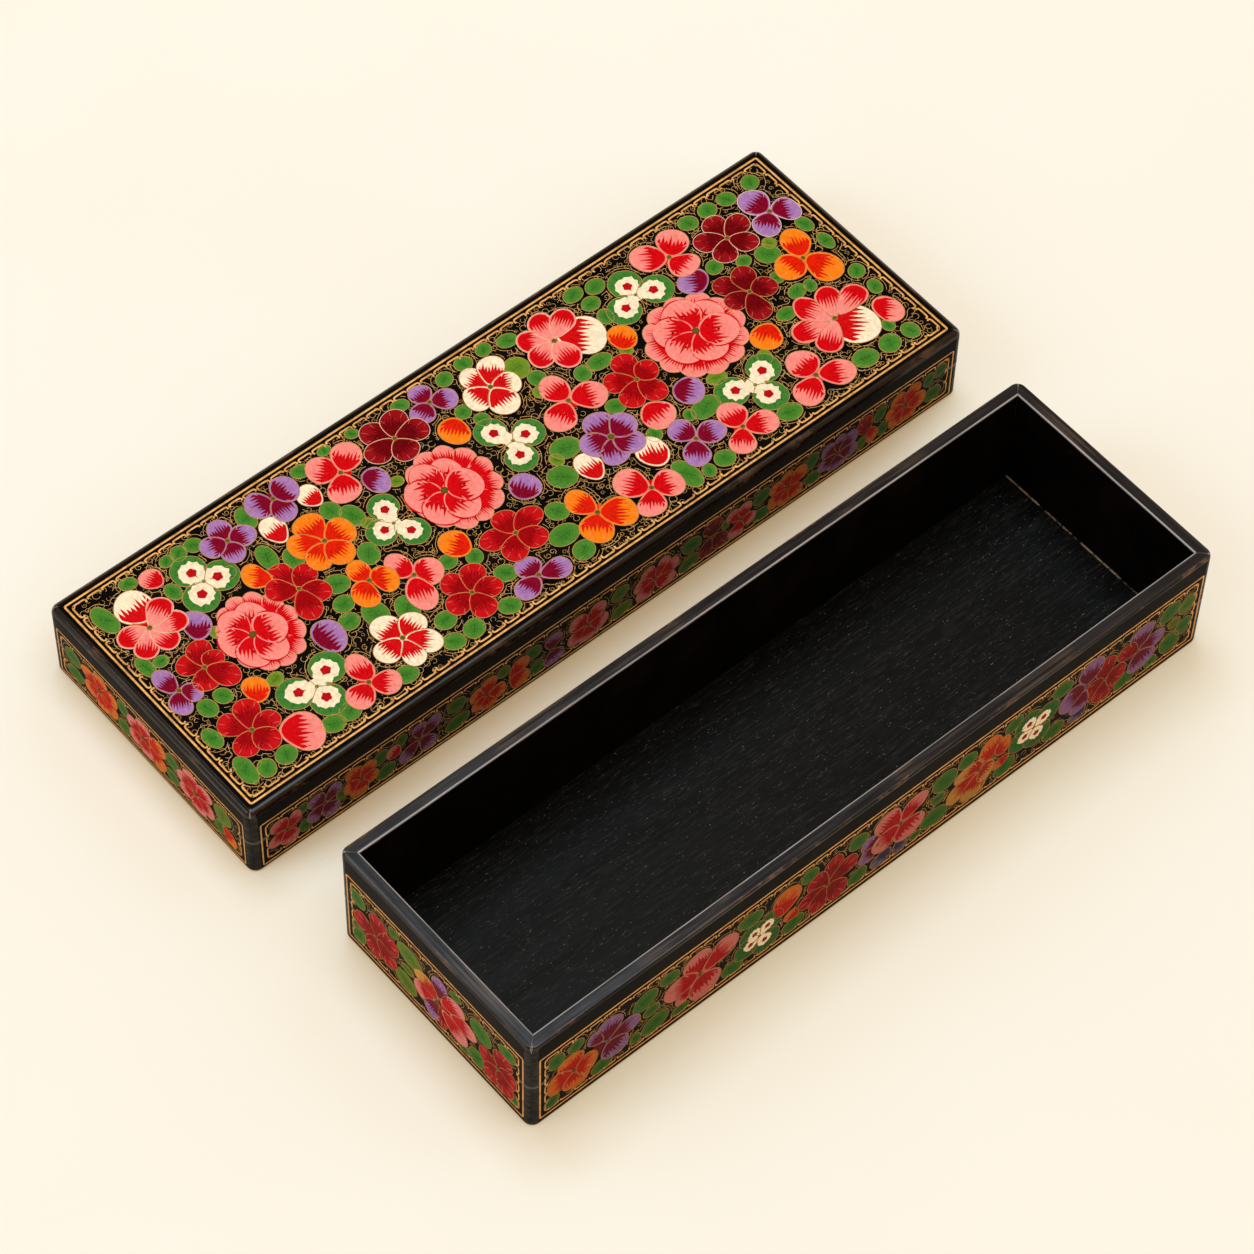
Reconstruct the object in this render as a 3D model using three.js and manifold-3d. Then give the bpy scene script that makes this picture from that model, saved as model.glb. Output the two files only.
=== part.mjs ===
// A lacquered wooden pen box: an open base and the slip-over lid that lies beside it.
// Both are mitred frames with a slip of wood, or key, let into a kerf across every corner.
// The base's floor board and the lid's top panel sit in rebates cut round their frames.
// Millimetres, +Z up. The origin is the middle of the base's underside, +X runs along
// the box, and the lid lies on the +Y side of the base.
import * as THREE from 'three';
import { mergeVertices } from 'three/addons/utils/BufferGeometryUtils.js';
import Module from 'manifold-3d';

const wasm = await Module();
wasm.setup();

// The base
const baseLength = 260;
const baseWidth = 84;
const baseHeight = 43;
const baseWall = 4.3;
const floorThickness = 3;
const floorRebate = 2;
const rimOuterRound = 1;
const rimInnerRound = 0.4;

// The lid, which goes down over the base: close at the sides, with more play at the ends
const lidWall = 5;
const lidSideSlip = 1;
const lidEndSlip = 3;
const lidHeight = 30;
const panelThickness = 4;
const panelRebate = 2.2;
const lidEdgeRound = 2.5;
const lidLeadIn = 0.8;

// What both frames share
const cornerRound = 3;
const footRound = 0.8;
const boardPlay = 0.1;
const keyThickness = 1.2;
const keyReach = 4.4;
const keyGlueGap = 0.3;

// How the lid lies beside the base
const floorGap = 31;

// Each rounding is made of twice this many flats
const roundSegments = 5;

const lidLength = baseLength + 2 * (lidEndSlip + lidWall);
const lidWidth = baseWidth + 2 * (lidSideSlip + lidWall);
const lidAcross = baseWidth / 2 + floorGap + lidWidth / 2;

const QUARTER = Math.PI / 2;
const SIDES = ['front', 'right', 'back', 'left'];
const CORNERS = ['front_left', 'front_right', 'back_right', 'back_left'];
const CUT_OVERRUN = 1;

const blackLacquer = { color: 0x15130f, roughness: 0.28, metalness: 0 };
const floorLacquer = { color: 0x131312, roughness: 0.5, metalness: 0 };
const panelLacquer = { color: 0x17120e, roughness: 0.22, metalness: 0 };
const keyWood = { color: 0x1d1711, roughness: 0.4, metalness: 0 };

// A closed geometry as a solid that can be cut
function toSolid(geometry) {
  geometry.deleteAttribute('normal');
  geometry.deleteAttribute('uv');
  const merged = mergeVertices(geometry);
  return new wasm.Manifold(new wasm.Mesh({
    numProp: 3,
    vertProperties: new Float32Array(merged.attributes.position.array),
    triVerts: new Uint32Array(merged.index.array),
  }));
}

// A solid as a geometry with crisp faces
function toGeometry(solid) {
  const { vertProperties, triVerts } = solid.getMesh();
  const indexed = new THREE.BufferGeometry();
  indexed.setAttribute('position', new THREE.BufferAttribute(vertProperties, 3));
  indexed.setIndex(new THREE.BufferAttribute(triVerts, 1));
  const geometry = indexed.toNonIndexed();
  geometry.computeVertexNormals();
  return geometry;
}

// An outline drawn in plan, as a solid from one height to another
function prism(outline, bottom, top) {
  const geometry = new THREE.ExtrudeGeometry(outline, {
    depth: top - bottom,
    bevelEnabled: false,
    curveSegments: roundSegments,
  });
  geometry.translate(0, 0, bottom);
  return toSolid(geometry);
}

// A whole number of quarter turns about Z, exact to the last digit
function quarterTurns(count) {
  const cos = [1, 0, -1, 0][count];
  const sin = [0, 1, 0, -1][count];
  return new THREE.Matrix4().set(cos, -sin, 0, 0, sin, cos, 0, 0, 0, 0, 1, 0, 0, 0, 0, 1);
}

// The section of a base wall: across from the outer face, up from the table
function baseWallSection() {
  const section = new THREE.Shape();
  const rebateFace = baseWall - floorRebate;
  section.moveTo(footRound, 0);
  section.lineTo(rebateFace, 0);
  section.lineTo(rebateFace, floorThickness);
  section.lineTo(baseWall, floorThickness);
  section.absarc(baseWall - rimInnerRound, baseHeight - rimInnerRound, rimInnerRound, 0, QUARTER);
  section.absarc(rimOuterRound, baseHeight - rimOuterRound, rimOuterRound, QUARTER, 2 * QUARTER);
  section.absarc(footRound, footRound, footRound, 2 * QUARTER, 3 * QUARTER);
  return section;
}

// The section of a lid side: a bevelled lead-in below, the panel's rebate above
function lidSideSection() {
  const section = new THREE.Shape();
  const rebateFace = lidWall - panelRebate;
  const shelf = lidHeight - panelThickness;
  section.moveTo(footRound, 0);
  section.lineTo(lidWall - lidLeadIn, 0);
  section.lineTo(lidWall, lidLeadIn);
  section.lineTo(lidWall, shelf);
  section.lineTo(rebateFace, shelf);
  section.lineTo(rebateFace, lidHeight);
  section.absarc(lidEdgeRound, lidHeight - lidEdgeRound, lidEdgeRound, QUARTER, 2 * QUARTER);
  section.absarc(footRound, footRound, footRound, 2 * QUARTER, 3 * QUARTER);
  return section;
}

// A straight moulding with the given section, run along the front of a length by width box
function moulding(section, length, width) {
  const geometry = new THREE.ExtrudeGeometry(section, {
    depth: length,
    bevelEnabled: false,
    curveSegments: roundSegments,
  });
  const alongFront = new THREE.Matrix4().set(
    0, 0, 1, -length / 2,
    1, 0, 0, -width / 2,
    0, 1, 0, 0,
    0, 0, 0, 1,
  );
  return toSolid(geometry.applyMatrix4(alongFront));
}

// The plan of a front wall: mitred at both ends, with half of each rounded corner
function mitredPlan(length, width, wall) {
  const plan = new THREE.Shape();
  const centreX = length / 2 - cornerRound;
  const centreY = cornerRound - width / 2;
  plan.moveTo(wall - length / 2, wall - width / 2);
  plan.absarc(-centreX, centreY, cornerRound, 2.5 * QUARTER, 3 * QUARTER);
  plan.absarc(centreX, centreY, cornerRound, 3 * QUARTER, 3.5 * QUARTER);
  plan.lineTo(length / 2 - wall, wall - width / 2);
  return plan;
}

// The plan of the kerf across the front left corner of a length by width box
function kerfPlan(length, width) {
  const leg = Math.SQRT2 * keyReach + CUT_OVERRUN;
  const left = -length / 2;
  const front = -width / 2;
  const plan = new THREE.Shape();
  plan.moveTo(left - CUT_OVERRUN, front - CUT_OVERRUN);
  plan.lineTo(left + leg, front - CUT_OVERRUN);
  plan.lineTo(left - CUT_OVERRUN, front + leg);
  return plan;
}

// The plan of the key that fills that kerf, trimmed flush with both walls
function keyPlan(length, width) {
  const leg = Math.SQRT2 * (keyReach - keyGlueGap);
  const left = -length / 2;
  const front = -width / 2;
  const plan = new THREE.Shape();
  plan.moveTo(left + leg, front);
  plan.lineTo(left, front + leg);
  plan.absarc(left + cornerRound, front + cornerRound, cornerRound, 2 * QUARTER, 3 * QUARTER);
  return plan;
}

// The four walls and four keys of a frame, in the order of SIDES and CORNERS
function keyedFrame({ length, width, height, wall, section }) {
  const keyBottom = (height - keyThickness) / 2;
  const keyTop = (height + keyThickness) / 2;
  const walls = [];
  const kerfs = [];
  const keys = [];
  for (let turn = 0; turn < 4; turn += 1) {
    const along = turn % 2 === 0 ? length : width;
    const across = turn % 2 === 0 ? width : length;
    const place = quarterTurns(turn).elements;
    const ends = prism(mitredPlan(along, across, wall), -CUT_OVERRUN, height + CUT_OVERRUN);
    walls.push(moulding(section, along, across).intersect(ends).transform(place));
    kerfs.push(prism(kerfPlan(along, across), keyBottom, keyTop).transform(place));
    keys.push(prism(keyPlan(along, across), keyBottom, keyTop).transform(place));
  }
  const sawn = walls.map((solid, side) => solid.subtract(kerfs[side]).subtract(kerfs[(side + 1) % 4]));
  return { walls: sawn, keys };
}

// A flat board that sits in the rebate of a frame
function rebatedBoard({ length, width, wall, rebate, bottom, top }) {
  const halfLength = length / 2 - wall + rebate - boardPlay;
  const halfWidth = width / 2 - wall + rebate - boardPlay;
  const outline = new THREE.Shape();
  outline.moveTo(-halfLength, -halfWidth);
  outline.lineTo(halfLength, -halfWidth);
  outline.lineTo(halfLength, halfWidth);
  outline.lineTo(-halfLength, halfWidth);
  return prism(outline, bottom, top);
}

function addPiece(parent, name, solid, finish) {
  const mesh = new THREE.Mesh(toGeometry(solid), new THREE.MeshStandardMaterial(finish));
  mesh.name = name;
  parent.add(mesh);
}

function addFrame(parent, prefix, sideWord, frame) {
  SIDES.forEach((side, index) => {
    const word = index % 2 === 0 ? sideWord : 'end';
    addPiece(parent, `${prefix}_${side}_${word}`, frame.walls[index], blackLacquer);
  });
  CORNERS.forEach((corner, index) => {
    addPiece(parent, `${prefix}_key_${corner}`, frame.keys[index], keyWood);
  });
}

function buildBase() {
  const base = new THREE.Group();
  const size = { length: baseLength, width: baseWidth, height: baseHeight, wall: baseWall };
  addFrame(base, 'base', 'wall', keyedFrame({ ...size, section: baseWallSection() }));
  const board = rebatedBoard({ ...size, rebate: floorRebate, bottom: 0, top: floorThickness });
  addPiece(base, 'base_floor_board', board, floorLacquer);
  return base;
}

function buildLid() {
  const lid = new THREE.Group();
  const size = { length: lidLength, width: lidWidth, height: lidHeight, wall: lidWall };
  addFrame(lid, 'lid', 'side', keyedFrame({ ...size, section: lidSideSection() }));
  const bottom = lidHeight - panelThickness;
  const panel = rebatedBoard({ ...size, rebate: panelRebate, bottom, top: lidHeight });
  addPiece(lid, 'lid_top_panel', panel, panelLacquer);
  lid.position.set(0, lidAcross, 0);
  return lid;
}

const group = new THREE.Group();
group.add(buildBase());
group.add(buildLid());

export default group;
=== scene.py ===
"""The lacquered pen box, dressed: an open painted base and the slip-over lid that lies beside it."""

import logging
import math
import random
from collections.abc import Callable, Iterable, Sequence
from dataclasses import dataclass, field, replace
from enum import Enum
from functools import cache

import bmesh
import bpy
import numpy as np
from mathutils import Matrix, Vector, noise


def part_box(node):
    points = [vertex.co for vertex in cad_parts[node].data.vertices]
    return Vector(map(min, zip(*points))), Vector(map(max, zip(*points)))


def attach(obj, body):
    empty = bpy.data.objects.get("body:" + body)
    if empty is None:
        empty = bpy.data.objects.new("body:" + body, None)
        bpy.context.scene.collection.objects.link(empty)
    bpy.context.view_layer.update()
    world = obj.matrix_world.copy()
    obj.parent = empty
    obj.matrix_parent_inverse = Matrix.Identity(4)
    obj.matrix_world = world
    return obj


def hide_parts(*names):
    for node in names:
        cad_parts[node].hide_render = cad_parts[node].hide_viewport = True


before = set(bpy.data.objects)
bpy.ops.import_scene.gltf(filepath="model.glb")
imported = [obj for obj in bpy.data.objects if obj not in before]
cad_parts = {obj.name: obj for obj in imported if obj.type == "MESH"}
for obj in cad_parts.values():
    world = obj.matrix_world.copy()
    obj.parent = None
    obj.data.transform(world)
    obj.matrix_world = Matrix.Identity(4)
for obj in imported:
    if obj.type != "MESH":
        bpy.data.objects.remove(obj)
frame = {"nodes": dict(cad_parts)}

log = logging.getLogger("pen_box")

Point = tuple[float, float]
Colour = tuple[float, float, float]
Path = tuple[Sequence[Point], float, bool]
Mesh = bpy.types.Mesh
Material = bpy.types.Material
Tree = bpy.types.NodeTree
Socket = bpy.types.NodeSocket
Shell = bmesh.types.BMesh
Ring = Sequence[bmesh.types.BMVert]

MM = 0.001
QUARTER = math.pi / 2
FULL_TURN = 2 * math.pi
WAVER_SEED = 7
WHITE = (1.0, 1.0, 1.0)


def paint(red: int, green: int, blue: int) -> Colour:
    """A colour as it is seen on a screen, from 0 to 255, turned into the light that it reflects."""
    return tuple(((c / 255 + 0.055) / 1.055) ** 2.4 if c > 10 else c / 3294 for c in (red, green, blue))


def blend_colours(first: Colour, second: Colour, share: float) -> Colour:
    """Mixes two colours; a share of 0 gives the first and 1 the second."""
    return tuple(a + (b - a) * share for a, b in zip(first, second))


def scaled(colour: Colour, factor: float) -> Colour:
    """A colour made lighter or darker by a factor."""
    return tuple(part * factor for part in colour)


def add_node(tree: Tree, kind: str, inputs: dict | None = None, **settings: object) -> bpy.types.Node:
    """Adds a node to a tree.

    Args:
        tree: The tree.
        kind: Blender's name for the type of node.
        inputs: What its inputs take, by name or number: an output socket to link, or a plain value.
        **settings: The node's own settings.

    Returns:
        The node.
    """
    node = tree.nodes.new(kind)
    for name, value in settings.items():
        setattr(node, name, value)
    for name, value in (inputs or {}).items():
        socket = node.inputs[name]
        if isinstance(value, Socket):
            tree.links.new(value, socket)
        elif socket.type == "RGBA" and len(value) == 3:
            socket.default_value = (*value, 1)
        else:
            socket.default_value = value
    return node


def link_to_scene(name: str, data: bpy.types.ID) -> bpy.types.Object:
    """Puts an object into the scene.

    Args:
        name: The object's name.
        data: What it holds: a mesh, a curve, a lamp or a camera.

    Returns:
        The object.
    """
    thing = bpy.data.objects.new(name, data)
    bpy.context.scene.collection.objects.link(thing)
    return thing


# Materials


class Bench:
    """A material's node tree, with short calls that add its nodes and join them."""

    def __init__(self, name: str) -> None:
        """Starts an empty material that is laid out on the object's own coordinates.

        Args:
            name: The material's name.
        """
        self.material = bpy.data.materials.new(name)
        self.material.use_nodes = True
        self.tree = self.material.node_tree
        self.tree.nodes.clear()
        self.place = add_node(self.tree, "ShaderNodeTexCoord").outputs["Object"]

    def noise(
        self,
        scale: float,
        detail: float = 3,
        stretch: Sequence[float] = (1, 1, 1),
        roughness: float = 0.5,
    ) -> Socket:
        """A noise value between 0 and 1.

        Args:
            scale: Features to the metre.
            detail: Octaves of finer noise.
            stretch: How many times each axis is multiplied first.
            roughness: How strong the finer octaves are.

        Returns:
            The noise value.
        """
        stretched = add_node(self.tree, "ShaderNodeMapping", {"Vector": self.place, "Scale": stretch})
        place = stretched.outputs["Vector"]
        inputs = {"Vector": place, "Scale": scale, "Detail": detail, "Roughness": roughness}
        return add_node(self.tree, "ShaderNodeTexNoise", inputs).outputs["Fac"]

    def span(self, value: Socket, low: float, high: float, to_low: float = 0, to_high: float = 1) -> Socket:
        """Maps a value from one range to another, smoothly and with both ends held.

        Args:
            value: The value to map.
            low: The value that becomes to_low.
            high: The value that becomes to_high.
            to_low: Start of the new range.
            to_high: End of the new range.

        Returns:
            The mapped value.
        """
        inputs = {"Value": value, "From Min": low, "From Max": high, "To Min": to_low, "To Max": to_high}
        node = add_node(self.tree, "ShaderNodeMapRange", inputs, interpolation_type="SMOOTHSTEP")
        return node.outputs["Result"]

    def times(self, first: Socket, second: Socket | float) -> Socket:
        """Multiplies two values."""
        product = add_node(self.tree, "ShaderNodeMath", {0: first, 1: second}, operation="MULTIPLY")
        return product.outputs["Value"]

    def mix(self, share: Socket | float, first: object, second: object, kind: str = "MIX") -> Socket:
        """Mixes two colours in one of Blender's ways, with a share of the second."""
        inputs = {"Factor": share, 6: first, 7: second}
        return add_node(self.tree, "ShaderNodeMix", inputs, data_type="RGBA", blend_type=kind).outputs[2]

    def attribute(self, name: str, kind: str = "Fac") -> Socket:
        """Reads an attribute of the mesh: Fac for a number, Color for a colour, Vector for a place."""
        return add_node(self.tree, "ShaderNodeAttribute", attribute_name=name).outputs[kind]

    def bump(self, height: Socket, depth_mm: float, under: Socket | None = None) -> Socket:
        """Raises and lowers the surface a little by a value.

        Args:
            height: The value that gives the height.
            depth_mm: How deep a full step of the value is, in millimetres.
            under: A bump that this one is added to.

        Returns:
            The normal to give to the shader.
        """
        inputs = {"Strength": 1, "Distance": depth_mm * MM, "Height": height}
        if under is not None:
            inputs["Normal"] = under
        return add_node(self.tree, "ShaderNodeBump", inputs).outputs["Normal"]

    def shader(self, colour: object, roughness: object, normal: Socket, **others: object) -> Socket:
        """Adds a Principled shader.

        Args:
            colour: The base colour.
            roughness: The roughness.
            normal: The bumped normal.
            **others: What its other inputs take, by name with spaces as underscores.

        Returns:
            The shader's output.
        """
        inputs = {"Base Color": colour, "Roughness": roughness, "Normal": normal}
        inputs.update((name.replace("_", " "), value) for name, value in others.items())
        return add_node(self.tree, "ShaderNodeBsdfPrincipled", inputs).outputs["BSDF"]

    def finish(self, under: Socket, over: Socket | None = None, share: Socket | None = None) -> Material:
        """Shows a shader, or one laid over another, and hands over the material.

        Args:
            under: The shader.
            over: A second one that is laid over it.
            share: Where the second one shows, from 0 to 1.

        Returns:
            The finished material.
        """
        if over is not None:
            laid = add_node(self.tree, "ShaderNodeMixShader", {"Fac": share, 1: under, 2: over})
            under = laid.outputs["Shader"]
        add_node(self.tree, "ShaderNodeOutputMaterial", {"Surface": under})
        return self.material


@dataclass(frozen=True)
class GlossLacquer:
    """Black lacquer over wood, polished and rubbed to grey and brown along its arrises; its pale inner-arris
    line is part wear and part painted highlight.
    """

    name: str = "black_gloss_lacquer"
    black: Colour = paint(9, 8, 7)
    brown_black: Colour = paint(20, 15, 11)
    rubbed_black: Colour = paint(44, 42, 40)
    tea_brown: Colour = paint(74, 60, 48)
    worn_brown: Colour = paint(128, 88, 58)
    pale_wear_and_highlight: Colour = paint(206, 198, 186)
    speck_grey: Colour = paint(120, 112, 102)
    warm_shine: Colour = (1.0, 0.88, 0.74)

    @cache
    def material(self) -> Material:
        """Builds the material from the arris, rim and polish attributes and noise along each wall.

        Returns:
            The material.
        """
        bench = Bench(self.name)
        bench.place = bench.attribute("local", "Vector")
        arris = bench.attribute("arris")
        rim = bench.attribute("rim")
        streak = bench.noise(800, 4, stretch=(0.04, 1, 1), roughness=0.6)
        cloud = bench.span(bench.noise(55, 4), 0.35, 0.7)
        ground = bench.mix(cloud, self.black, self.brown_black)
        ground = bench.mix(bench.times(rim, bench.span(streak, 0.3, 0.7, 0.4, 1)), ground, self.rubbed_black)
        tea = bench.times(bench.span(bench.noise(26, 2), 0.5, 0.6), bench.span(streak, 0.42, 0.6))
        ground = bench.mix(bench.times(rim, tea), ground, self.tea_brown)
        stretch = bench.span(bench.noise(38, 2), 0.52, 0.62)
        grit = bench.span(bench.noise(420, 5, stretch=(0.4, 1, 1), roughness=0.65), 0.46, 0.62)
        wear = bench.times(bench.times(arris, stretch), grit)
        ground = bench.mix(bench.times(wear, 0.75), ground, self.worn_brown)
        # Pale line on the inner arris: part wear, part painted highlight standing for light caught on the
        # rounding.
        inner = bench.times(bench.span(arris, 0.8, 1.0), bench.span(streak, 0.3, 0.65, 0.22, 0.6))
        ground = bench.mix(inner, ground, self.pale_wear_and_highlight)
        at_mitre = bench.span(arris, 1.1, 1.5)
        ground = bench.mix(at_mitre, ground, self.worn_brown)
        speck = bench.span(bench.noise(1500, 1), 0.79, 0.82)
        ground = bench.mix(bench.times(speck, 0.35), ground, self.speck_grey)
        swell = bench.bump(bench.noise(160, 2), 0.05)
        normal = bench.bump(streak, 0.008, swell)
        dull = bench.shader(ground, 0.3, normal, IOR=1.45, Specular_IOR_Level=0.01)
        shine = {"IOR": 1.5, "Specular_IOR_Level": 0.62, "Specular_Tint": self.warm_shine}
        bright = bench.shader(ground, 0.2, normal, **shine)
        polish = bench.times(bench.attribute("polish"), bench.span(streak, 0.28, 0.68, 0.35, 1))
        return bench.finish(dull, bright, polish)


@dataclass(frozen=True)
class FloorLacquer:
    """Thin satin black over straight grain, with pale specks and a pale line where the walls meet it, part
    wear and part painted highlight.
    """

    name: str = "satin_black_over_grain"
    black: Colour = paint(5, 5, 4)
    grain_grey: Colour = paint(30, 27, 22)
    hairline_grey: Colour = paint(58, 52, 43)
    speck_grey: Colour = paint(196, 184, 164)
    edge_wear_and_highlight: Colour = paint(160, 134, 104)
    warm_shine: Colour = (1.0, 0.86, 0.68)

    @cache
    def material(self) -> Material:
        """Builds the material with its grain along the box.

        Returns:
            The material.
        """
        bench = Bench(self.name)
        grain = bench.noise(900, 5, stretch=(0.1, 1, 1), roughness=0.74)
        broad = bench.noise(120, 2, stretch=(0.06, 1, 1))
        shown_grain = bench.times(bench.span(grain, 0.45, 0.72), bench.span(broad, 0.3, 0.7, 0.35, 1))
        ground = bench.mix(shown_grain, self.black, self.grain_grey)
        hairline = bench.span(bench.noise(2600, 2, stretch=(0.07, 1, 1), roughness=0.6), 0.56, 0.72)
        ground = bench.mix(bench.times(hairline, 0.55), ground, self.hairline_grey)
        pore = bench.span(bench.noise(4200, 1, stretch=(0.2, 1, 1)), 0.73, 0.79)
        ground = bench.mix(bench.times(pore, 0.35), ground, self.speck_grey)
        fleck = bench.span(bench.noise(3800, 1, stretch=(0.5, 1, 1)), 0.84, 0.87)
        ground = bench.mix(bench.times(fleck, 0.8), ground, self.speck_grey)
        # Pale line where the walls meet the board: part wear, part painted highlight standing for light
        # caught at the joint.
        rubbed = bench.span(bench.attribute("arris"), 0.3, 0.95)
        edge = bench.times(rubbed, bench.span(bench.noise(260, 4, roughness=0.7), 0.39, 0.58))
        ground = bench.mix(edge, ground, self.edge_wear_and_highlight)
        roughness = bench.span(broad, 0.3, 0.7, 0.36, 0.5)
        others = {"IOR": 1.4, "Specular_IOR_Level": 0.13, "Specular_Tint": self.warm_shine}
        return bench.finish(bench.shader(ground, roughness, bench.bump(grain, 0.03), **others))


@dataclass(frozen=True)
class KeyWood:
    """The end of a corner slip: dark stained wood under thin lacquer."""

    name: str = "dark_stained_key"
    dark: Colour = paint(20, 15, 11)
    light: Colour = paint(52, 38, 26)

    @cache
    def material(self) -> Material:
        """Builds the material with fine grain.

        Returns:
            The material.
        """
        bench = Bench(self.name)
        grain = bench.noise(1400, 3, stretch=(1, 1, 3))
        ground = bench.mix(bench.span(grain, 0.35, 0.7), self.dark, self.light)
        return bench.finish(bench.shader(ground, 0.42, bench.bump(grain, 0.02), IOR=1.46))


@dataclass(frozen=True)
class BodyColour:
    """Brushed body colour under clear gloss; each brush stroke's colour is on the mesh."""

    name: str = "painted_flowers"
    streak: float = 0.12
    mottle: float = 0.09
    speck_cream: Colour = paint(240, 215, 180)

    @cache
    def material(self) -> Material:
        """Builds the material from the pigment attribute, with fine brush streaks.

        Returns:
            The material.
        """
        bench = Bench(self.name)
        pigment = bench.attribute("pigment", "Color")
        streaks = bench.noise(1900, 4, stretch=(1, 0.35, 1), roughness=0.65)
        shade = bench.span(streaks, 0.25, 0.75, 1 - self.streak, 1 + self.streak)
        colour = bench.mix(1.0, pigment, shade, "MULTIPLY")
        mottle = bench.span(bench.noise(820, 3, roughness=0.6), 0.32, 0.68, 1 - self.mottle, 1 + self.mottle)
        colour = bench.mix(1.0, colour, mottle, "MULTIPLY")
        speck = bench.span(bench.noise(2600, 1), 0.76, 0.8)
        colour = bench.mix(bench.times(speck, 0.35), colour, self.speck_cream)
        normal = bench.bump(streaks, 0.012)
        return bench.finish(bench.shader(colour, 0.38, normal, IOR=1.45, Specular_IOR_Level=0.02))


@dataclass(frozen=True)
class GoldPaint:
    """Powdered gold drawn on with a brush, thinner and browner in places."""

    name: str
    bright: Colour
    thin: Colour
    metal: float
    wear: float

    @cache
    def material(self) -> Material:
        """Builds the material with patches where the gold is thin.

        Returns:
            The material.
        """
        bench = Bench(self.name)
        patch = bench.span(bench.noise(380, 4, roughness=0.7), 0.4, 0.68)
        colour = bench.mix(bench.times(patch, self.wear), self.bright, self.thin)
        grit = bench.noise(4200, 2)
        colour = bench.mix(1.0, colour, bench.span(grit, 0.2, 0.8, 0.8, 1.2), "MULTIPLY")
        roughness = bench.span(grit, 0.3, 0.7, 0.34, 0.5)
        others = {"Metallic": self.metal, "IOR": 1.45, "Specular_IOR_Level": 0.03}
        return bench.finish(bench.shader(colour, roughness, bench.bump(grit, 0.01), **others))

    def shaded_copy(self, prefix: str, share: float) -> "GoldPaint":
        """The same paint under a prefixed name, scaled down to a share of its light as painted shade."""
        bright = scaled(self.bright, share)
        return replace(self, name=prefix + self.name, bright=bright, thin=scaled(self.thin, share))


GLOSS = GlossLacquer()
FLOOR = FloorLacquer()
KEY_WOOD = KeyWood()
BODY_COLOUR = BodyColour()


@dataclass(frozen=True)
class PaintBox:
    """The gold paints of one face and the tint laid over its flowers: a warm tone, and on the sides painted
    shade as well.
    """

    frame: GoldPaint
    line: GoldPaint
    pale: GoldPaint
    scroll: GoldPaint
    varnish_and_shade: Colour

    def shaded_copies(self, prefix: str, share: float, varnish_and_shade: Colour) -> "PaintBox":
        """The same paints with painted shade, for a face that gets less light; the frame is shaded least.

        Args:
            prefix: Put before each paint's name.
            share: How much of the light of its gold lines is left.
            varnish_and_shade: The tint over the flowers: a warm tone, further dimmed as painted shade.

        Returns:
            The darker paints.
        """
        line, pale, scroll = (gold.shaded_copy(prefix, share) for gold in (self.line, self.pale, self.scroll))
        return PaintBox(self.frame.shaded_copy(prefix, (3 + share) / 4), line, pale, scroll, varnish_and_shade)


TOP_PAINTS = PaintBox(
    frame=GoldPaint("frame_gold", paint(240, 178, 98), paint(150, 98, 44), 0.2, 0.62),
    line=GoldPaint("outline_gold", paint(206, 152, 84), paint(138, 96, 46), 0.1, 0.65),
    pale=GoldPaint("pale_outline_gold", paint(244, 214, 168), paint(206, 160, 112), 0.05, 0.6),
    scroll=GoldPaint("scroll_gold", paint(234, 184, 106), paint(170, 124, 64), 0.1, 0.5),
    varnish_and_shade=(0.97, 0.83, 0.66),
)
# Shaded copies of the top's paints for the sides, as painted shade: the ends, lit from the left, keep the
# most light; the base's long sides less; the lid's long sides least, as its front lies in the base's shade.
END_PAINTS = TOP_PAINTS.shaded_copies("end_", 0.66, (0.7, 0.6, 0.56))
LONG_SIDE_PAINTS = TOP_PAINTS.shaded_copies("long_side_", 0.62, (0.48, 0.39, 0.31))
LID_SIDE_PAINTS = TOP_PAINTS.shaded_copies("lid_side_", 0.42, (0.39, 0.31, 0.24))


@dataclass(frozen=True)
class Palette:
    """The colours of one kind of flower."""

    petal: Colour
    rim: Colour
    flame: Colour
    vein: Colour
    touches: int = 0


class Pigment(Enum):
    """The kinds of flower that the painter used, by their body colour."""

    PINK = Palette(paint(250, 124, 122), paint(255, 158, 152), paint(216, 8, 18), paint(150, 4, 12))
    CRIMSON = Palette(paint(184, 8, 16), paint(206, 20, 26), paint(160, 5, 12), paint(118, 4, 10), 3)
    DARK_CRIMSON = Palette(paint(138, 8, 18), paint(156, 18, 26), paint(112, 4, 12), paint(74, 4, 10), 3)
    ORANGE = Palette(paint(250, 112, 6), paint(255, 144, 28), paint(228, 34, 6), paint(160, 16, 4))
    PURPLE = Palette(paint(138, 88, 174), paint(178, 138, 206), paint(132, 6, 42), paint(92, 2, 40))
    CREAM = Palette(paint(251, 241, 206), paint(255, 252, 228), paint(216, 14, 20), paint(150, 8, 14))
    YELLOW = Palette(paint(226, 158, 56), paint(240, 186, 88), paint(214, 34, 18), paint(150, 60, 20))
    STEEL = Palette(paint(104, 106, 146), paint(128, 130, 160), paint(80, 66, 116), paint(60, 50, 90))


class Leafage(Enum):
    """The greens: each holds a leaf's middle colour, its edge and its vein."""

    GREEN = (paint(58, 128, 42), paint(86, 148, 54), paint(24, 86, 22))
    OLIVE = (paint(92, 138, 30), paint(118, 158, 48), paint(56, 98, 16))
    BLUE_GREEN = (paint(50, 122, 46), paint(70, 140, 58), paint(20, 82, 28))


CENTRE_BROWN = paint(112, 70, 22)
CENTRE_GREEN = paint(84, 116, 40)
DOT_RED = paint(188, 16, 22)
PETAL_CREAM = paint(253, 249, 222)
STREAK_WHITE = (1.0, 0.95, 0.9)


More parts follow.
